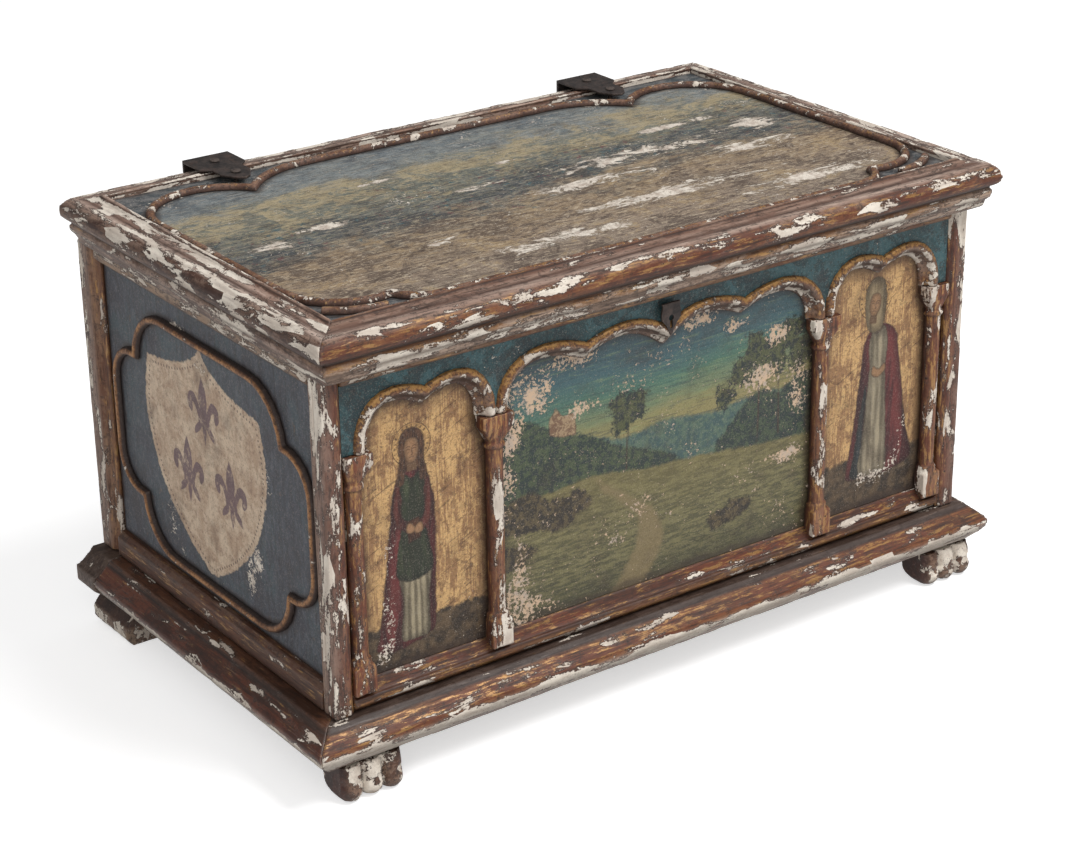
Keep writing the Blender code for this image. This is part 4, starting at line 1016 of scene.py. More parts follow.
def landscape_finish(middle):
    made, paint = new_finish("landscape_paint")
    brush = uneven(paint)
    sweep = (paint.streaks((0.5, 1, 1.6), 26, 4, 0.65) - 0.5) * 0.024
    streak = (paint.streaks((0.08, 1, 1), 420, 4, 0.66) - 0.5) * 0.014
    rise = (paint.z + sweep + streak - paint.x * 0.03 - middle - 0.030) / 0.075
    colour = paint.tones(rise, SKY)
    wisp = paint.streaks((0.07, 1, 1), 520, 5, 0.70)
    colour = patches(paint, colour, ((34, 56, 62), wisp, 0.56, 0.45), ((122, 142, 100), 1 - wisp, 0.58, 0.35))
    leafy = paint.mottle(270, 7, 0.76, 0.3)
    shaggy = brush + (leafy - 0.5) * 11

    def leaves(light, dark):
        return paint.mix(paint.step(leafy, 0.46, 0.54), tint(*dark), tint(*light))

    colour = lay(paint, colour, "far_hills", leaves((84, 104, 88), (56, 82, 82)), brush * 2, 2.0)
    colour = lay(paint, colour, "hill", leaves((66, 78, 54), (28, 44, 42)), shaggy, 1.4)
    colour = lay(paint, colour, "chapel", leaves((158, 134, 104), (112, 84, 64)), brush, 0.8, 0.3)
    colour = lay(paint, colour, "wood", leaves((60, 74, 54), (26, 42, 42)), shaggy, 1.4)
    grass = paint.streaks((0.16, 1, 1), 640, 6, 0.72, 0.3)
    lawn = paint.mix(paint.step(grass, 0.44, 0.56), tint(78, 76, 50), tint(118, 112, 76))
    tuft = paint.streaks((0.4, 1, 1), 260, 8, 0.78)
    lawn = patches(paint, lawn, ((54, 52, 36), tuft, 0.56, 0.55), ((136, 126, 84), 1 - tuft, 0.58, 0.40))
    lawn = paint.wash(lawn, tint(122, 110, 66), paint.z, middle - 0.04, middle + 0.025, 0.5)
    lawn = paint.wash(lawn, tint(46, 50, 33), paint.z, middle - 0.04, SILL_TOP, 0.6)
    colour = lay(paint, colour, "lawn", lawn, brush * 1.6, 1.5)
    trodden = paint.mix(grass, tint(138, 122, 86), tint(102, 90, 62))
    colour = lay(paint, colour, "track", trodden, brush * 2.4, 2.4)
    colour = lay(paint, colour, "bushes", leaves((86, 74, 50), (34, 30, 24)), shaggy, 1.6)
    trunks = paint.step(paint.attribute("trunks") + brush * 0.4, 1.3, 0.3)
    colour = paint.mix(trunks, colour, tint(52, 40, 32))
    colour = lay(paint, colour, "crowns", leaves((76, 80, 50), (26, 38, 36)), brush + (leafy - 0.5) * 26, 1.6)
    spots = (paint.attribute("losses") + (paint.mottle(90, 8, 0.76) - 0.5) * 2.2).most(0)
    cream = tint(206, 178, 150)
    colour, bare = worn_picture(paint, colour, spots * 0.24 - 0.015, spots * 0.20 - 0.125, cream)
    rough = paint.streaks((0.3, 1, 1), 300, 5, 0.66)
    paint.surface(colour, 0.38 + rough * 0.25 + bare * 0.25, 0.0, rough * 0.5 - bare * 0.6, 0.0004)
    return made


class CASKET_OT_landscape(bpy.types.Operator):
    """Paint the landscape in the middle bay"""

    bl_idname = "casket.landscape"
    bl_label = "Landscape"

    def execute(self, context):
        middle = SILL_TOP + 0.070
        piece = bay_skin("landscape_painting", niche_columns(2, 3), LANDSCAPE_SPACING)
        places = places_on(piece, (1, 0, 0), (0, 0, 1), (0, 0, middle))
        for layer, points in LAND.items():
            keep(piece, layer, depth_in(places, under(points)))
        keep(piece, "chapel", depth_in(places, np.array(CHAPEL, float)))
        keep(piece, "track", depth_in(places, smooth_line(TRACK)))
        keep(piece, "bushes", depth_in(places, *[blob(*b) for b in BUSHES]))
        keep(piece, "crowns", depth_in(places, *[blob(*c) for c in CROWNS]))
        keep(piece, "trunks", stroke(places, *[smooth_line(t, False) for t in TRUNKS]))
        keep(piece, "losses", losses_at(places, LANDSCAPE_LOSSES))
        keep(piece, "rim", gap_to(piece, ARCADE))
        painted(piece, landscape_finish(middle), "case")
        return {"FINISHED"}


# Shield and lilies of the end panels, in millimetres from their middles
SHIELD_TOP = smooth_line([(0, 78), (12, 68), (36, 59), (70, 54)], False)
SHIELD_FLANK = smooth_line([(70, 54), (76, 16), (62, -26), (36, -55), (4, -75)], False)
SHIELD = np.array(mirrored([*SHIELD_TOP, *SHIELD_FLANK[1:]]))
SHIELD_SHIFT = 0.009
LILY = {
    "petal": mirrored([(0, 18), (3.2, 11), (3.8, 6), (2.4, 0), (1.2, -3)]),
    "band": mirrored([(5, -3), (5, -5.4)]),
    "tail": mirrored([(1.4, -5.4), (1.8, -9), (0, -16)]),
}
LILY_SIDE = [
    (1.6, -3), (4, 3), (8, 8), (13, 6.5), (14, 1), (11, -2.2), (9.6, 0.2), (10, 3), (7.4, 2.2), (4.6, -3),
]
LILY_FOOT = [(2, -5.4), (4, -9), (9, -12), (8.4, -8.4), (5, -5.4)]
SHIELD_LOSSES = (
    (0, 66, 11, 8), (60, -40, 8, 14), (-50, -58, 9, 26), (-40, -74, 8, 10), (50, -58, 8, 20),
    (-26, 86, 12, 4), (78, 20, 5, 14),
)
LILY_PLACES = ((1, 36), (-24, -12), (30, -10))
LILY_SIZE = 1.4


def lily(middle):
    """Outlines of one lily: middle petal, curling side petals, band and tails."""
    lines = [turned(points, middle, 0, LILY_SIZE) for points in LILY.values()]
    for side in (1, -1):
        for points in (LILY_SIDE, LILY_FOOT):
            lines.append(turned(smooth_line([(side * x, y) for x, y in points]), middle, 0, LILY_SIZE))
    return lines


def shield_finish():
    made, paint = new_finish("shield_paint")
    kit = shades()
    upright = paint.streaks((1, 1, 0.16), 230, 6, 0.70, 0.3)
    slow = paint.mottle(24, 5, 0.68)
    colour = paint.mix(paint.step(upright, 0.34, 0.66), tint(42, 45, 53), tuple(kit.slate))
    colour = paint.wash(colour, tint(66, 78, 82), slow, 0.44, 0.66, 0.45)
    daub = paint.streaks((1, 1, 0.45), 380, 7, 0.76, 0.4)
    colour = patches(paint, colour, ((100, 102, 110), daub, 0.555, 0.5), ((36, 36, 42), 1 - daub, 0.56, 0.55))
    wash = paint.streaks((1, 1, 0.6), 60, 8, 0.74, 0.6)
    colour = patches(paint, colour, ((60, 80, 86), wash, 0.56, 0.45), ((48, 46, 56), 1 - wash, 0.55, 0.5))
    colour = paint.wash(colour, tint(52, 50, 54), slow, 0.50, 0.34, 0.45)
    ochre = paint.step(paint.mottle(95, 7, 0.74), 0.60, 0.68) * paint.step(slow, 0.42, 0.58)
    colour = paint.mix(ochre * 0.55, colour, tint(112, 88, 66))
    stain = paint.mottle(75, 7, 0.72, 0.4)
    silver = paint.mix(paint.step(stain, 0.38, 0.62), tint(216, 194, 168), tint(184, 156, 130))
    rub = paint.step(paint.mottle(210, 7, 0.75), 0.50, 0.64)
    silver = paint.mix(rub * 0.6, silver, tint(140, 110, 92))
    silver = paint.wash(silver, tint(128, 104, 92), upright, 0.52, 0.70, 0.35)
    ragged = (paint.mottle(260, 5, 0.72) - 0.5) * 6
    depth = paint.attribute("shield") + ragged
    field = paint.step(depth, 0.8, -0.6)
    colour = paint.mix(field, colour, silver)
    along = paint.attribute("border")
    dots = (along * (2 * math.pi / 3.6)).sine() * paint.band(paint.attribute("shield"), -4.2, 0.3, 0.9)
    colour = paint.wash(colour, tint(76, 58, 54), dots, 0.15, 0.6, 0.75)
    faded = paint.step(paint.mottle(150, 7, 0.74), 0.36, 0.50)
    lilies = paint.step(paint.attribute("lilies") + (stain - 0.5) * 2.0, 0.5, -0.4) * (0.35 + faded * 0.6)
    colour = paint.mix(lilies, colour, paint.mix(stain, tint(86, 62, 70), tint(116, 90, 92)))
    colour, bare = worn_picture(paint, colour, paint.attribute("losses") * 0.27 - 0.09, -0.16, reach=3.5)
    paint.surface(colour, 0.46 + upright * 0.25, 0.0, upright * 0.6 - bare * 0.5 + field * 0.2, 0.0004)
    return made


class CASKET_OT_shields(bpy.types.Operator):
    """Paint the shield with three lilies on each end"""

    bl_idname = "casket.shields"
    bl_label = "Shields"

    def execute(self, context):
        finish = shield_finish()
        low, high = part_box("left_end_front_strip"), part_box("left_end_back_stile")
        span = (low[1].y + 0.0004, high[0].y - 0.0004)
        rise = (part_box("left_end_bottom_rail")[1].z + 0.0002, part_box("left_end_top_rail")[0].z - 0.0002)
        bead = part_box("left_cartouche_bead")
        middle = (bead[0] + bead[1]) / 2
        for name, side in (("left", -1), ("right", 1)):
            centre = (side * (END_X + PAINT_LIFT), sum(span) / 2, sum(rise) / 2)
            turn = (math.pi / 2, 0, side * math.pi / 2)
            size = (span[1] - span[0], rise[1] - rise[0])
            piece = paint_skin(f"{name}_shield_painting", centre, *size, turn, SHIELD_SPACING)
            shift = SHIELD_SHIFT if side < 0 else 0
            places = places_on(piece, (0, side, 0), (0, 0, 1), (0, middle.y + shift, middle.z))
            gap, along = span_distance(places, SHIELD, True)
            keep(piece, "shield", np.where(inside(places, SHIELD), -gap, gap))
            keep(piece, "border", along)
            keep(piece, "lilies", depth_in(places, *[line for p in LILY_PLACES for line in lily(p)]))
            keep(piece, "losses", losses_at(places, SHIELD_LOSSES))
            edging = [f"{name}_end_{part}" for part in END_FRAME]
            keep(piece, "rim", gap_to(piece, [*edging, f"{name}_cartouche_bead"]))
            painted(piece, finish, "case")
        return {"FINISHED"}


# Middle, half width and half height of the lid's worn places, in millimetres from its middle
LID_LOSSES = (
    (90, 6, 100, 15), (20, -26, 86, 12), (150, 40, 44, 8), (160, -26, 60, 14), (96, 66, 24, 6),
    (-150, 6, 26, 7), (-196, -8, 26, 12), (70, -70, 110, 13), (-110, -62, 24, 9), (196, 12, 22, 18),
    (14, 44, 26, 6), (-50, -100, 84, 11), (150, -100, 84, 14), (-30, 12, 30, 6), (-80, 60, 20, 4),
)


# Patches of the lid's picture in the order they are painted: part of the picture, field, level, share, colour
LID_PATCHES = (
    ("woods", "mid", 0.49, 0.85, (52, 62, 68)),
    ("near", "mid", 0.53, 0.75, (82, 67, 57)),
    ("near", "not_mid", 0.55, 0.55, (178, 152, 112)),
    ("meadow", "mid", 0.49, 0.6, (178, 160, 122)),
    ("meadow", "not_mid", 0.52, 0.7, (94, 104, 100)),
    ("far", "mid", 0.53, 0.45, (144, 150, 150)),
    ("far", "not_mid", 0.54, 0.6, (82, 94, 102)),
    ("woods", "leafy", 0.52, 0.8, (46, 56, 60)),
    ("woods", "ragged", 0.55, 0.8, (136, 132, 110)),
    ("meadow", "ragged", 0.54, 0.7, (180, 164, 128)),
    ("meadow", "leafy", 0.55, 0.6, (100, 108, 100)),
    ("near", "leafy", 0.54, 0.75, (82, 66, 55)),
    ("near", "ragged", 0.55, 0.7, (198, 180, 154)),
    ("far", "leafy", 0.54, 0.55, (154, 158, 154)),
    ("far", "ragged", 0.55, 0.6, (76, 88, 96)),
    ("woods", "spot", 0.59, 0.7, (58, 98, 106)),
    ("woods", "not_spot", 0.61, 0.7, (108, 54, 60)),
)
# Colours of the lid's picture from front to back, kept lighter and greyer than its paint as a painted sheen
# of the light from above
LID_GROUND_AND_SHEEN = (
    (0.00, (134, 118, 104)), (0.18, (142, 124, 106)), (0.34, (150, 128, 100)), (0.44, (126, 114, 98)),
    (0.54, (100, 104, 102)), (0.64, (134, 130, 110)), (0.72, (158, 148, 122)), (0.80, (126, 132, 130)),
    (1.00, (110, 120, 126)),
)


def lid_picture_finish():
    made, paint = new_finish("lid_picture_paint")
    kit = shades()
    low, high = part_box("lid_board")

    def drawn_out(share):
        return paint.stretch(paint.place, (share, 1, 1))

    sweep = (paint.noise(drawn_out(0.6), 24, 9, 0.74, 0.6) - 0.5) * 0.16
    streak = (paint.noise(drawn_out(0.06), 300, 5, 0.68) - 0.5) * 0.035
    rise = (paint.y + sweep + streak - paint.x * 0.05 - low.y) / (high.y - low.y)
    colour = paint.tones(rise, LID_GROUND_AND_SHEEN)
    mid = paint.noise(drawn_out(0.7), 42, 9, 0.74, 0.8)
    leafy = paint.noise(drawn_out(0.45), 230, 8, 0.76, 0.5)
    ragged = paint.noise(paint.shift(drawn_out(0.35), (3, 5, 0)), 400, 8, 0.76, 0.3)
    spot = paint.mottle(120, 6, 0.70)
    fields = {"mid": mid, "leafy": leafy, "ragged": ragged, "spot": spot}
    fields.update({"not_mid": 1 - mid, "not_spot": 1 - spot})
    grounds = {
        "woods": paint.band(rise, 0.54, 0.07, 0.12),
        "meadow": paint.band(rise, 0.70, 0.05, 0.10),
        "near": paint.step(rise, 0.52, 0.36),
        "far": paint.step(rise, 0.74, 0.84),
    }
    for ground, field, level, strength, shade in LID_PATCHES:
        colour = patched(paint, colour, tint(*shade), fields[field], level, grounds[ground] * strength)
    hair = paint.noise(drawn_out(0.3), 260, 5, 0.62)
    colour = paint.mix(paint.band(hair, 0.5, 0.003, 0.006) * 0.75, colour, kit.umber)
    scratch = paint.noise(drawn_out(0.07), 900, 5, 0.72)
    colour = patched(paint, colour, tint(182, 168, 148), scratch, 0.575, 0.55)
    colour = patched(paint, colour, tuple(kit.umber), 1 - scratch, 0.575, 0.6)
    outside = paint.step(paint.attribute("outside"), -1.0, 1.0)
    corner = paint.mix(paint.step(leafy, 0.44, 0.56), tint(56, 68, 74), tint(112, 112, 112))
    colour = paint.mix(outside, colour, corner)
    broken = paint.noise(drawn_out(0.36), 80, 9, 0.76, 0.6)
    flecks = paint.mottle(380, 4, 0.70)
    loss_field = broken + (flecks - 0.5) * 0.22 + paint.attribute("losses") * 0.25 - 0.065
    loss = paint.step(loss_field, 0.600, 0.616)
    rim = paint.step(loss_field, 0.545, 0.60) * (1 - loss)
    colour = paint.mix(rim * 0.45, colour, tint(138, 124, 104))
    soiled = paint.step(paint.mottle(140, 6, 0.70), 0.42, 0.64)
    colour = paint.mix(loss, colour, paint.mix(soiled, kit.gesso, kit.old_gesso))
    colour, bare = worn_picture(paint, colour, -0.01, -0.15, reach=4.5)
    bare = bare.most(loss)
    height = scratch * 0.5 + leafy * 0.3 - bare * 0.6
    paint.surface(colour, 0.44 + scratch * 0.2 + bare * 0.25, 0.0, height, 0.0004)
    return made


class CASKET_OT_lid_picture(bpy.types.Operator):
    """Paint the worn landscape on the lid"""

    bl_idname = "casket.lid_picture"
    bl_label = "Lid picture"

    def execute(self, context):
        low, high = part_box("lid_board")
        centre = ((low.x + high.x) / 2, (low.y + high.y) / 2, PICTURE_Z + PAINT_LIFT)
        size = (high.x - low.x - 0.0002, high.y - low.y - 0.0002)
        piece = paint_skin("lid_painting", centre, *size, (0, 0, 0), LID_SPACING)
        points = np.array([v.co for v in frame["nodes"]["lid_picture_bead"].data.vertices], float)
        crest = np.unique(np.round(points[points[:, 2] > points[:, 2].max() - 0.0002, :2] * 1000, 2), axis=0)
        line = crest[np.argsort(np.arctan2(crest[:, 1], crest[:, 0]))]
        places = places_on(piece, (1, 0, 0), (0, 1, 0), (0, 0, 0))
        keep(piece, "outside", depth_in(places, line))
        keep(piece, "losses", losses_at(places, LID_LOSSES))
        edging = [f"lid_{side}_moulding" for side in ("front", "back", "left", "right")]
        keep(piece, "rim", gap_to(piece, [*edging, *LID_BEADS]))
        painted(piece, lid_picture_finish(), "lid")
        return {"FINISHED"}


# Bands across the mouldings: place, colour, second colour, bareness, gilding
# Its dark rows at 0.395, 0.825 and 0.95 are painted shade along the grooves of the profile
LID_FRONT_BANDS = (
    (0.05, (122, 106, 94), (178, 164, 150), -0.03, -0.30),
    (0.20, (168, 150, 134), (206, 192, 178), 0.00, -0.20),
    (0.30, (160, 124, 84), (196, 180, 164), -0.03, -0.03),
    (0.36, (120, 84, 56), (150, 132, 118), -0.06, -0.08),
    (0.395, (40, 29, 24), (52, 38, 31), -0.14, -0.30),
    (0.44, (96, 54, 40), (124, 80, 54), -0.09, -0.06),
    (0.60, (108, 60, 42), (140, 94, 62), -0.06, -0.02),
    (0.72, (110, 70, 52), (156, 132, 116), -0.04, -0.05),
    (0.785, (212, 198, 188), (176, 158, 148), -0.06, -0.30),
    (0.825, (80, 60, 52), (110, 88, 78), -0.11, -0.25),
    (0.87, (176, 156, 144), (134, 108, 96), -0.05, -0.20),
    (0.92, (118, 86, 70), (160, 138, 124), -0.05, -0.14),
    (0.95, (60, 43, 36), (84, 58, 46), -0.11, -0.20),
    (0.98, (150, 104, 78), (186, 162, 144), -0.04, -0.07),
)
# Its dark rows at 0.395, 0.825 and 0.95 are painted shade along the grooves of the profile too
LID_SIDE_BANDS = (
    (0.05, (112, 96, 88), (172, 158, 146), -0.05, -0.30),
    (0.20, (130, 110, 98), (186, 170, 158), -0.03, -0.20),
    (0.34, (108, 80, 62), (160, 142, 130), -0.05, -0.10),
    (0.395, (40, 29, 24), (52, 38, 31), -0.14, -0.30),
    (0.44, (72, 47, 37), (130, 110, 96), -0.06, -0.20),
    (0.60, (70, 45, 36), (112, 88, 74), -0.02, -0.20),
    (0.72, (96, 68, 54), (170, 152, 140), -0.02, -0.20),
    (0.785, (232, 222, 214), (204, 188, 178), 0.00, -0.30),
    (0.825, (92, 72, 64), (128, 106, 96), -0.08, -0.30),
    (0.87, (214, 198, 188), (166, 142, 130), 0.00, -0.28),
    (0.92, (138, 108, 94), (200, 184, 172), 0.01, -0.20),
    (0.95, (66, 49, 42), (96, 72, 62), -0.09, -0.20),
    (0.98, (178, 148, 130), (216, 200, 188), 0.00, -0.15),
)
BASE_FRONT_BANDS = (
    (0.00, (176, 158, 144), (200, 184, 170), 0.00, -0.30),
    (0.30, (184, 166, 152), (208, 192, 178), 0.03, -0.30),
    (0.46, (186, 166, 152), (212, 196, 182), 0.05, -0.30),
    (0.53, (122, 78, 52), (150, 112, 82), -0.02, -0.12),
    (0.61, (112, 62, 38), (134, 84, 52), -0.08, -0.04),
    (0.75, (116, 62, 40), (84, 50, 37), -0.08, -0.02),
    (0.85, (128, 78, 48), (146, 104, 66), -0.08, 0.00),
    (0.90, (60, 47, 42), (82, 74, 70), -0.12, -0.30),
    (0.97, (92, 80, 74), (70, 58, 52), -0.10, -0.20),
)
BASE_END_BANDS = (
    (0.00, (146, 128, 118), (178, 160, 148), -0.03, -0.30),
    (0.46, (164, 146, 136), (190, 172, 160), 0.00, -0.30),
    (0.53, (124, 84, 64), (98, 62, 48), -0.04, -0.20),
    (0.62, (110, 62, 44), (78, 46, 36), -0.08, -0.14),
    (0.85, (118, 68, 46), (82, 52, 38), -0.08, -0.10),
    (0.90, (46, 35, 30), (70, 58, 52), -0.12, -0.30),
    (0.97, (110, 78, 60), (80, 56, 44), -0.08, -0.16),
)
BACK_RAIL_BANDS = (
    (0.0, (130, 120, 114), (112, 98, 90), -0.10, -0.30),
    (1.0, (96, 82, 72), (74, 58, 48), -0.12, -0.30),
)
STILE_BANDS = (
    (0.00, (84, 48, 37), (120, 76, 54), -0.08, 0.00),
    (0.35, (112, 66, 50), (142, 104, 84), -0.05, -0.04),
    (0.60, (132, 104, 92), (108, 72, 58), -0.035, -0.14),
    (1.00, (156, 136, 126), (122, 96, 84), -0.02, -0.24),
)
TOP_RAIL_BANDS = (
    (0.0, (138, 106, 76), (110, 70, 50), -0.09, -0.02),
    (0.4, (154, 132, 110), (124, 86, 62), -0.06, -0.06),
    (1.0, (170, 154, 140), (140, 118, 102), -0.03, -0.16),
)
SILL_BANDS = (
    (0.00, (116, 74, 50), (92, 58, 42), -0.08, -0.01),
    (0.25, (156, 116, 76), (122, 80, 54), -0.05, 0.02),
    (0.44, (76, 50, 36), (92, 62, 44), -0.12, -0.10),
    (0.62, (120, 64, 42), (92, 53, 40), -0.08, -0.02),
    (1.00, (108, 62, 44), (80, 56, 44), -0.09, -0.04),
)
# Along the way the arch's surface faces, from down to up: the dark colour facing down is painted shade under
# the arches
ARCH_BANDS = (
    (0.00, (56, 40, 32), (80, 58, 46), -0.12, -0.30),
    (0.22, (96, 68, 54), (150, 130, 116), -0.01, -0.20),
    (0.42, (118, 82, 58), (156, 134, 118), -0.03, -0.06),
    (0.58, (136, 96, 60), (112, 76, 52), -0.07, 0.01),
    (0.80, (168, 126, 70), (130, 92, 56), -0.10, 0.10),
    (1.00, (138, 102, 60), (98, 70, 48), -0.12, 0.06),
)
# Dark towards the back of the colonnettes as painted shade on their sides
SHAFT_BANDS = (
    (0.0, (38, 26, 21), (54, 36, 29), -0.12, -0.14),
    (0.4, (88, 50, 37), (104, 66, 46), -0.06, -0.04),
    (1.0, (128, 76, 54), (152, 112, 88), -0.04, -0.01),
)
BEAD_BANDS = (
    (0.0, (58, 43, 37), (76, 60, 53), -0.12, -0.30),
    (0.5, (88, 63, 52), (114, 88, 76), -0.08, -0.14),
    (1.0, (128, 92, 72), (160, 132, 116), -0.055, 0.00),
)
CARTOUCHE_BANDS = (
    (0.00, (54, 50, 50), (62, 56, 54), -0.20, -0.30),
    (0.70, (72, 58, 52), (64, 52, 48), -0.18, -0.30),
    (0.86, (150, 112, 74), (120, 86, 60), -0.14, -0.20),
    (1.00, (196, 150, 98), (150, 110, 74), -0.11, -0.14),
)
END_UPRIGHT_BANDS = (
    (0.00, (104, 64, 44), (140, 100, 64), -0.11, -0.02),
    (0.30, (120, 86, 66), (150, 124, 104), -0.08, -0.08),
    (0.60, (158, 140, 128), (132, 108, 94), -0.05, -0.20),
    (1.00, (172, 158, 148), (150, 132, 122), -0.05, -0.20),
)
END_TOP_BANDS = (
    (0.0, (120, 94, 72), (146, 122, 100), -0.09, -0.08),
    (0.4, (164, 142, 118), (140, 116, 94), -0.06, -0.12),
    (1.0, (186, 174, 158), (160, 144, 128), -0.03, -0.20),
)
END_LOW_BANDS = (
    (0.0, (74, 50, 40), (98, 74, 62), -0.11, -0.14),
    (0.5, (110, 72, 50), (84, 58, 46), -0.11, -0.05),
    (1.0, (96, 66, 50), (118, 94, 80), -0.11, -0.10),
)
PAW_BANDS = (
    (0.00, (150, 130, 114), (104, 78, 62), 0.02, -0.30),
    (0.80, (138, 116, 100), (92, 66, 52), 0.00, -0.30),
    (0.96, (74, 42, 32), (52, 30, 25), -0.10, -0.30),
)
BLOCK_BANDS = (
    (0.0, (170, 156, 140), (140, 122, 106), 0.02, -0.30),
    (0.5, (160, 144, 128), (120, 98, 82), -0.01, -0.30),
    (0.6, (66, 45, 36), (84, 60, 48), -0.11, -0.30),
    (1.0, (54, 38, 31), (74, 54, 44), -0.12, -0.30),
)


def lid_zone(side):
    """Place across the lid's border: mostly its height, and on the flat top the way inwards."""
    low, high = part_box(f"lid_{side}_moulding")
    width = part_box("lid_left_moulding")[1].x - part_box("lid_left_moulding")[0].x

    def zone(paint):
        if side == "front":
            inward = paint.y - low.y
        elif side == "back":
            inward = high.y - paint.y
        else:
            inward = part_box("lid_right_moulding")[1].x - abs(paint.x)
        return (paint.z - low.z) / (high.z - low.z) * 0.8 + inward / width * 0.2

    return zone


class CASKET_OT_lid_border(bpy.types.Operator):
    """Make the four flaked mouldings round the lid"""

    bl_idname = "casket.lid_border"
    bl_label = "Lid border"

    def execute(self, context):
        for side, run, bands in (
            ("front", ALONG_X, LID_FRONT_BANDS),
            ("back", ALONG_X, LID_SIDE_BANDS),
            ("left", ALONG_Y, LID_SIDE_BANDS),
            ("right", ALONG_Y, LID_SIDE_BANDS),
        ):
            coat = Coat(f"lid_{side}_paint", run, lid_zone(side), bands)
            coated(f"lid_{side}_moulding", wear().coarse_skin, coat)
        return {"FINISHED"}


class CASKET_OT_lid_beads(bpy.types.Operator):
    """Make the beads round the lid's picture and across its front corners"""

    bl_idname = "casket.lid_beads"
    bl_label = "Lid beads"

    def execute(self, context):
        coat = Coat("lid_bead_paint", EVEN, profile("lid_picture_bead", "z"), BEAD_BANDS)
        for node in LID_BEADS:
            coated(node, wear().thin_skin, coat, 0.4)
        return {"FINISHED"}


class CASKET_OT_base(bpy.types.Operator):
    """Make the moulded base"""

    bl_idname = "casket.base"
    bl_label = "Base"

    def execute(self, context):
        skin = wear().coarse_skin * 1.1
        height = between("z", BASE_LOW, BASE_HIGH)
        coated("base_front_moulding", skin, Coat("base_front_paint", ALONG_X, height, BASE_FRONT_BANDS, 0.08))
        ends = Coat("base_end_paint", ALONG_Y, height, BASE_END_BANDS, 0.14)
        for side in SIDES:
            coated(f"base_{side}_moulding", skin, ends)
        coated("base_back_rail", skin, Coat("base_back_paint", ALONG_X, height, BACK_RAIL_BANDS))
        return {"FINISHED"}


class CASKET_OT_feet(bpy.types.Operator):
    """Make the carved paws and the rear blocks"""

    bl_idname = "casket.feet"
    bl_label = "Feet"

    def execute(self, context):
        for side in SIDES:
            low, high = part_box(f"front_{side}_paw")
            middle = abs(low.x + high.x) / 2

            def off_middle(paint, middle=middle, half=(high.x - low.x) / 2):
                return abs(abs(paint.x) - middle) / half

            coat = Coat(f"{side}_paw_paint", EVEN, off_middle, PAW_BANDS)
            coated(f"front_{side}_paw", wear().thin_skin, coat, 1.2)
        blocks = Coat("rear_foot_paint", EVEN, profile("back_left_foot", "z"), BLOCK_BANDS)
        for side in SIDES:
            coated(f"back_{side}_foot", BLOCK_SKIN, blocks, 1.2)
        return {"FINISHED"}


class CASKET_OT_front_frame(bpy.types.Operator):
    """Make the stiles, top rail and sill of the front"""

    bl_idname = "casket.front_frame"
    bl_label = "Front frame"

    def execute(self, context):
        skin = wear().fine_skin
        stiles = Coat("stile_paint", ALONG_Z, profile("front_right_stile", "x"), STILE_BANDS)
        for side in SIDES:
            coated(f"front_{side}_stile", skin, stiles)
        rail = Coat("top_rail_paint", ALONG_X, profile("front_top_rail", "z"), TOP_RAIL_BANDS)
        coated("front_top_rail", skin, rail)
        sill = Coat("sill_paint", ALONG_X, profile("front_sill", "z"), SILL_BANDS, 0.08)
        coated("front_sill", skin, sill)
        return {"FINISHED"}


def upturned(paint):
    """Place on a moulding by the way its surface faces, from 0 underneath to 1 on top."""
    return paint.attribute("tilt") * 0.5 + 0.5


def spandrel_finish():
    made, paint = new_finish("spandrel_paint")
    brush = paint.streaks((1, 1, 0.5), 140, 6, 0.70, 0.4)
    colour = paint.mix(paint.step(brush, 0.32, 0.68), tint(24, 50, 56), tuple(shades().teal))
    glaze = paint.mottle(40, 8, 0.74, 0.5)
    colour = patches(paint, colour, ((64, 104, 110), glaze, 0.52, 0.6), ((20, 38, 44), 1 - glaze, 0.54, 0.7))
    grime = paint.mottle(240, 7, 0.75)
    rows = (
        ((40, 38, 34), grime, 0.56, 0.6),
        ((126, 100, 70), 1 - grime, 0.64, 0.6),
        ((84, 110, 110), paint.mottle(420, 6, 0.76), 0.57, 0.5),
    )
    colour = patches(paint, colour, *rows)
    colour, lost = worn_picture(paint, colour, -0.04, -0.14, reach=0)
    paint.surface(colour, 0.42 + brush * 0.25, 0.0, brush * 0.5 - lost * 0.5, 0.0004)
    return made


class CASKET_OT_arcade(bpy.types.Operator):
    """Make the arch mouldings, the colonnettes and the painted spandrels"""

    bl_idname = "casket.arcade"
    bl_label = "Arcade"

    def execute(self, context):
        arches = Coat("arch_paint", EVEN, upturned, ARCH_BANDS)
        for name in ("left", "middle", "right"):
            coated(f"{name}_arch_moulding", wear().thin_skin, arches, 1.2, ARCH_PLUMP)
        shafts = Coat("colonnette_paint", ALONG_Z, profile("colonnette_1", "y", True), SHAFT_BANDS)
        for number in range(1, 5):
            coated(f"colonnette_{number}", wear().thin_skin, shafts, 0.8)
        dress("spandrel_panel", spandrel_finish())
        return {"FINISHED"}


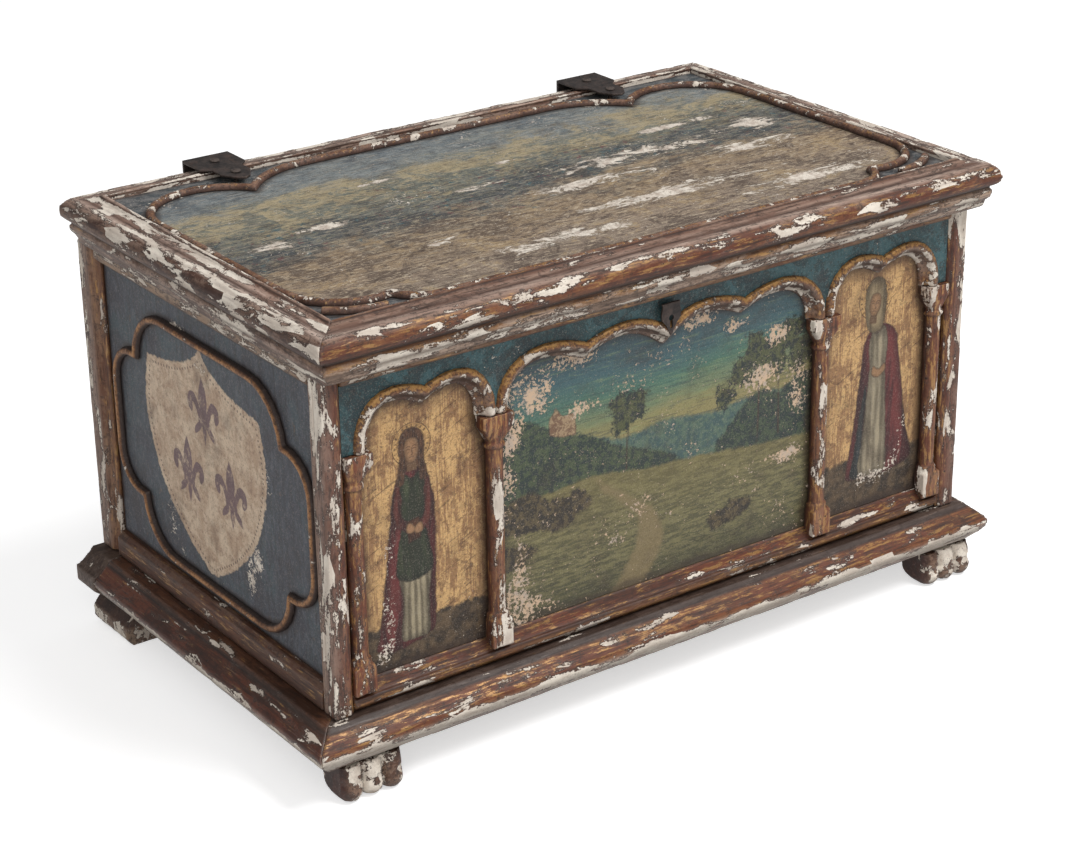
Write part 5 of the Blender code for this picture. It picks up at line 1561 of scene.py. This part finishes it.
class CASKET_OT_end_frames(bpy.types.Operator):
    """Make the frames and the cartouche beads of the ends"""

    bl_idname = "casket.end_frames"
    bl_label = "End frames"

    def execute(self, context):
        skin = wear().fine_skin * 1.1
        strip_zone = profile("left_end_front_strip", "y", True)
        stile_zone = profile("left_end_back_stile", "y")
        top_zone = profile("left_end_top_rail", "z")
        low_zone = profile("left_end_bottom_rail", "z")
        coats = {
            "front_strip": Coat("end_strip_paint", ALONG_Z, strip_zone, END_UPRIGHT_BANDS),
            "back_stile": Coat("end_stile_paint", ALONG_Z, stile_zone, END_UPRIGHT_BANDS),
            "top_rail": Coat("end_top_paint", ALONG_Y, top_zone, END_TOP_BANDS),
            "bottom_rail": Coat("end_low_paint", ALONG_Y, low_zone, END_LOW_BANDS, 0.06),
        }
        beads = Coat("cartouche_paint", EVEN, profile("right_cartouche_bead", "x"), CARTOUCHE_BANDS)
        for side in SIDES:
            for part, coat in coats.items():
                coated(f"{side}_end_{part}", skin, coat)
            coated(f"{side}_cartouche_bead", wear().thin_skin, beads, 0.35)
        return {"FINISHED"}


def iron_finish():
    made, paint = new_finish("forged_iron")
    kit = shades()
    scale = paint.mottle(210, 6, 0.68, 0.3)
    hammer = paint.mottle(130, 2, 0.5)
    edge, hollow = paint.edges()
    rust = paint.step(paint.mottle(110, 7, 0.74), 0.50, 0.66)
    colour = paint.mix(paint.step(scale, 0.35, 0.65), tint(40, 35, 34), tuple(kit.iron))
    colour = paint.mix(rust * 0.5, colour, tint(82, 62, 53))
    colour = paint.mix(edge * 0.5, colour, tint(116, 104, 97))
    colour = paint.mix(hollow * 0.7, colour, tint(24, 20, 19))
    roughness = 0.48 + scale * 0.25 + rust * 0.15
    paint.surface(colour, roughness, 0.45 - rust * 0.3, hammer * 0.9 + scale * 0.4, 0.0006)
    return made


class CASKET_OT_ironwork(bpy.types.Operator):
    """Make the hinges and the lock of forged iron"""

    bl_idname = "casket.ironwork"
    bl_label = "Ironwork"

    def execute(self, context):
        finish = iron_finish()
        for side in SIDES:
            worn_piece(f"{side}_hinge_lid_strap", STRAP_SKIN, finish, share=0.6)
        worn_piece("escutcheon", PLATE_SKIN, finish, share=0.4)
        for node, slot in SLOT_OF.items():
            if slot == "wrought_iron" and not node.endswith("lid_strap") and node != "escutcheon":
                dress(node, finish)
        return {"FINISHED"}


def board_finish(name, grain_way):
    """Old planed walnut; grain_way holds the factors that draw its grain out."""
    made, paint = new_finish(name)
    umber = shades().umber
    run = paint.stretch(paint.place, grain_way)
    grain = paint.noise(run, 150, 6, 0.6, 0.6)
    lines = paint.noise(run, 480, 5, 0.68, 0.3)
    pores = paint.noise(run, 1100, 3, 0.6)
    stain = paint.mottle(14, 4, 0.62)
    colour = paint.mix(paint.step(grain, 0.35, 0.68), tint(78, 53, 37), tint(116, 84, 58))
    colour = paint.wash(colour, tint(60, 41, 30), lines, 0.52, 0.62, 0.5)
    colour = paint.wash(colour, umber, pores, 0.55, 0.66, 0.5)
    colour = paint.wash(colour, umber, stain, 0.45, 0.75, 0.5)
    paint.surface(colour, 0.66 + pores * 0.2, 0.0, grain * 0.4 + lines * 0.4 + pores * 0.4, 0.0003)
    return made


class CASKET_OT_boards(bpy.types.Operator):
    """Give the plain boards of the case and the lid their wood"""

    bl_idname = "casket.boards"
    bl_label = "Boards"

    def execute(self, context):
        long_grain = board_finish("long_walnut", (0.05, 1, 0.9))
        end_grain = board_finish("end_walnut", (1, 0.05, 0.9))
        for node in ("front_board", "back_board", "bottom_board", "lid_board"):
            dress(node, long_grain)
        for node in ("left_end_board", "right_end_board"):
            dress(node, end_grain)
        return {"FINISHED"}


def lamp(name, place, aim, size, power):
    bpy.ops.object.select_all(action="DESELECT")
    bpy.ops.object.light_add(type="AREA", location=place)
    made = bpy.context.object
    made.name = name
    made.data.shape = "DISK"
    made.data.size = size
    made.data.energy = power
    made.rotation_euler = (Vector(aim) - Vector(place)).to_track_quat("-Z", "Y").to_euler()


class CASKET_OT_stage(bpy.types.Operator):
    """Set up the pale floor, the lamps and the camera"""

    bl_idname = "casket.stage"
    bl_label = "Stage"

    def execute(self, context):
        scene = context.scene
        settings = scene.casket_stage
        bpy.ops.object.select_all(action="DESELECT")
        bpy.ops.mesh.primitive_plane_add(size=FLOOR_SIZE, location=(0, 0, 0))
        floor = context.object
        floor.name = "floor"
        made, paint = new_finish("pale_floor")
        seen = paint.node("ShaderNodeLightPath", output="Is Camera Ray")
        glossy = seen.other("Is Glossy Ray")
        matt = paint.node("ShaderNodeBsdfDiffuse", sockets={"Color": (0.86, 0.86, 0.86)})
        lift = {"Color": (1, 1, 1), "Strength": seen.most(glossy) * 0.56}
        glow = paint.node("ShaderNodeEmission", sockets=lift)
        both = paint.node("ShaderNodeAddShader", sockets={0: matt, 1: glow})
        paint.node("ShaderNodeOutputMaterial", sockets={"Surface": both})
        floor.data.materials.append(made)

        world = bpy.data.worlds.new("studio")
        world.use_nodes = True
        world.node_tree.nodes["Background"].inputs["Color"].default_value = (1, 1, 1, 1)
        world.node_tree.nodes["Background"].inputs["Strength"].default_value = settings.room_light
        scene.world = world
        lamp("key_lamp", KEY_PLACE, KEY_AIM, KEY_SIZE, settings.key_power)
        lamp("fill_lamp", FILL_PLACE, FILL_AIM, FILL_SIZE, settings.fill_power)

        view = bpy.data.cameras.new("camera")
        view.lens = settings.lens
        view.sensor_width = SENSOR
        view.clip_start = 0.05
        eye = bpy.data.objects.new("camera", view)
        scene.collection.objects.link(eye)
        across = Vector(EYE_ACROSS).normalized()
        back = Vector(EYE_BACK).normalized()
        up = back.cross(across).normalized()
        turn = Matrix((across, up, back)).transposed().to_4x4()
        eye.matrix_world = Matrix.Translation(EYE) @ turn
        scene.camera = eye
        scene.view_settings.view_transform = "Standard"
        return {"FINISHED"}


class CASKET_PT_panel(bpy.types.Panel):
    """Lists the steps that make the casket"""

    bl_idname = "CASKET_PT_panel"
    bl_label = "Painted casket"
    bl_space_type = "VIEW_3D"
    bl_region_type = "UI"
    bl_category = "Casket"

    def draw(self, context):
        for step in STEPS:
            self.layout.operator(step.bl_idname)
        for group in (context.scene.casket_finishes, context.scene.casket_wear, context.scene.casket_stage):
            for name in group.__annotations__:
                self.layout.prop(group, name)


STEPS = (
    CASKET_OT_stage,
    CASKET_OT_boards,
    CASKET_OT_lid_border,
    CASKET_OT_lid_beads,
    CASKET_OT_base,
    CASKET_OT_feet,
    CASKET_OT_front_frame,
    CASKET_OT_arcade,
    CASKET_OT_end_frames,
    CASKET_OT_ironwork,
    CASKET_OT_niches,
    CASKET_OT_landscape,
    CASKET_OT_shields,
    CASKET_OT_lid_picture,
)
CLASSES = (CasketFinishes, CasketWear, CasketStage, *STEPS, CASKET_PT_panel)


def register():
    for each in CLASSES:
        bpy.utils.register_class(each)
    bpy.types.Scene.casket_finishes = PointerProperty(type=CasketFinishes)
    bpy.types.Scene.casket_wear = PointerProperty(type=CasketWear)
    bpy.types.Scene.casket_stage = PointerProperty(type=CasketStage)


def unregister():
    for name in ("casket_finishes", "casket_wear", "casket_stage"):
        delattr(bpy.types.Scene, name)
    for each in reversed(CLASSES):
        bpy.utils.unregister_class(each)


def main():
    register()
    for step in STEPS:
        group, name = step.bl_idname.split(".")
        getattr(getattr(bpy.ops, group), name)()


if __name__ == "__main__":
    main()
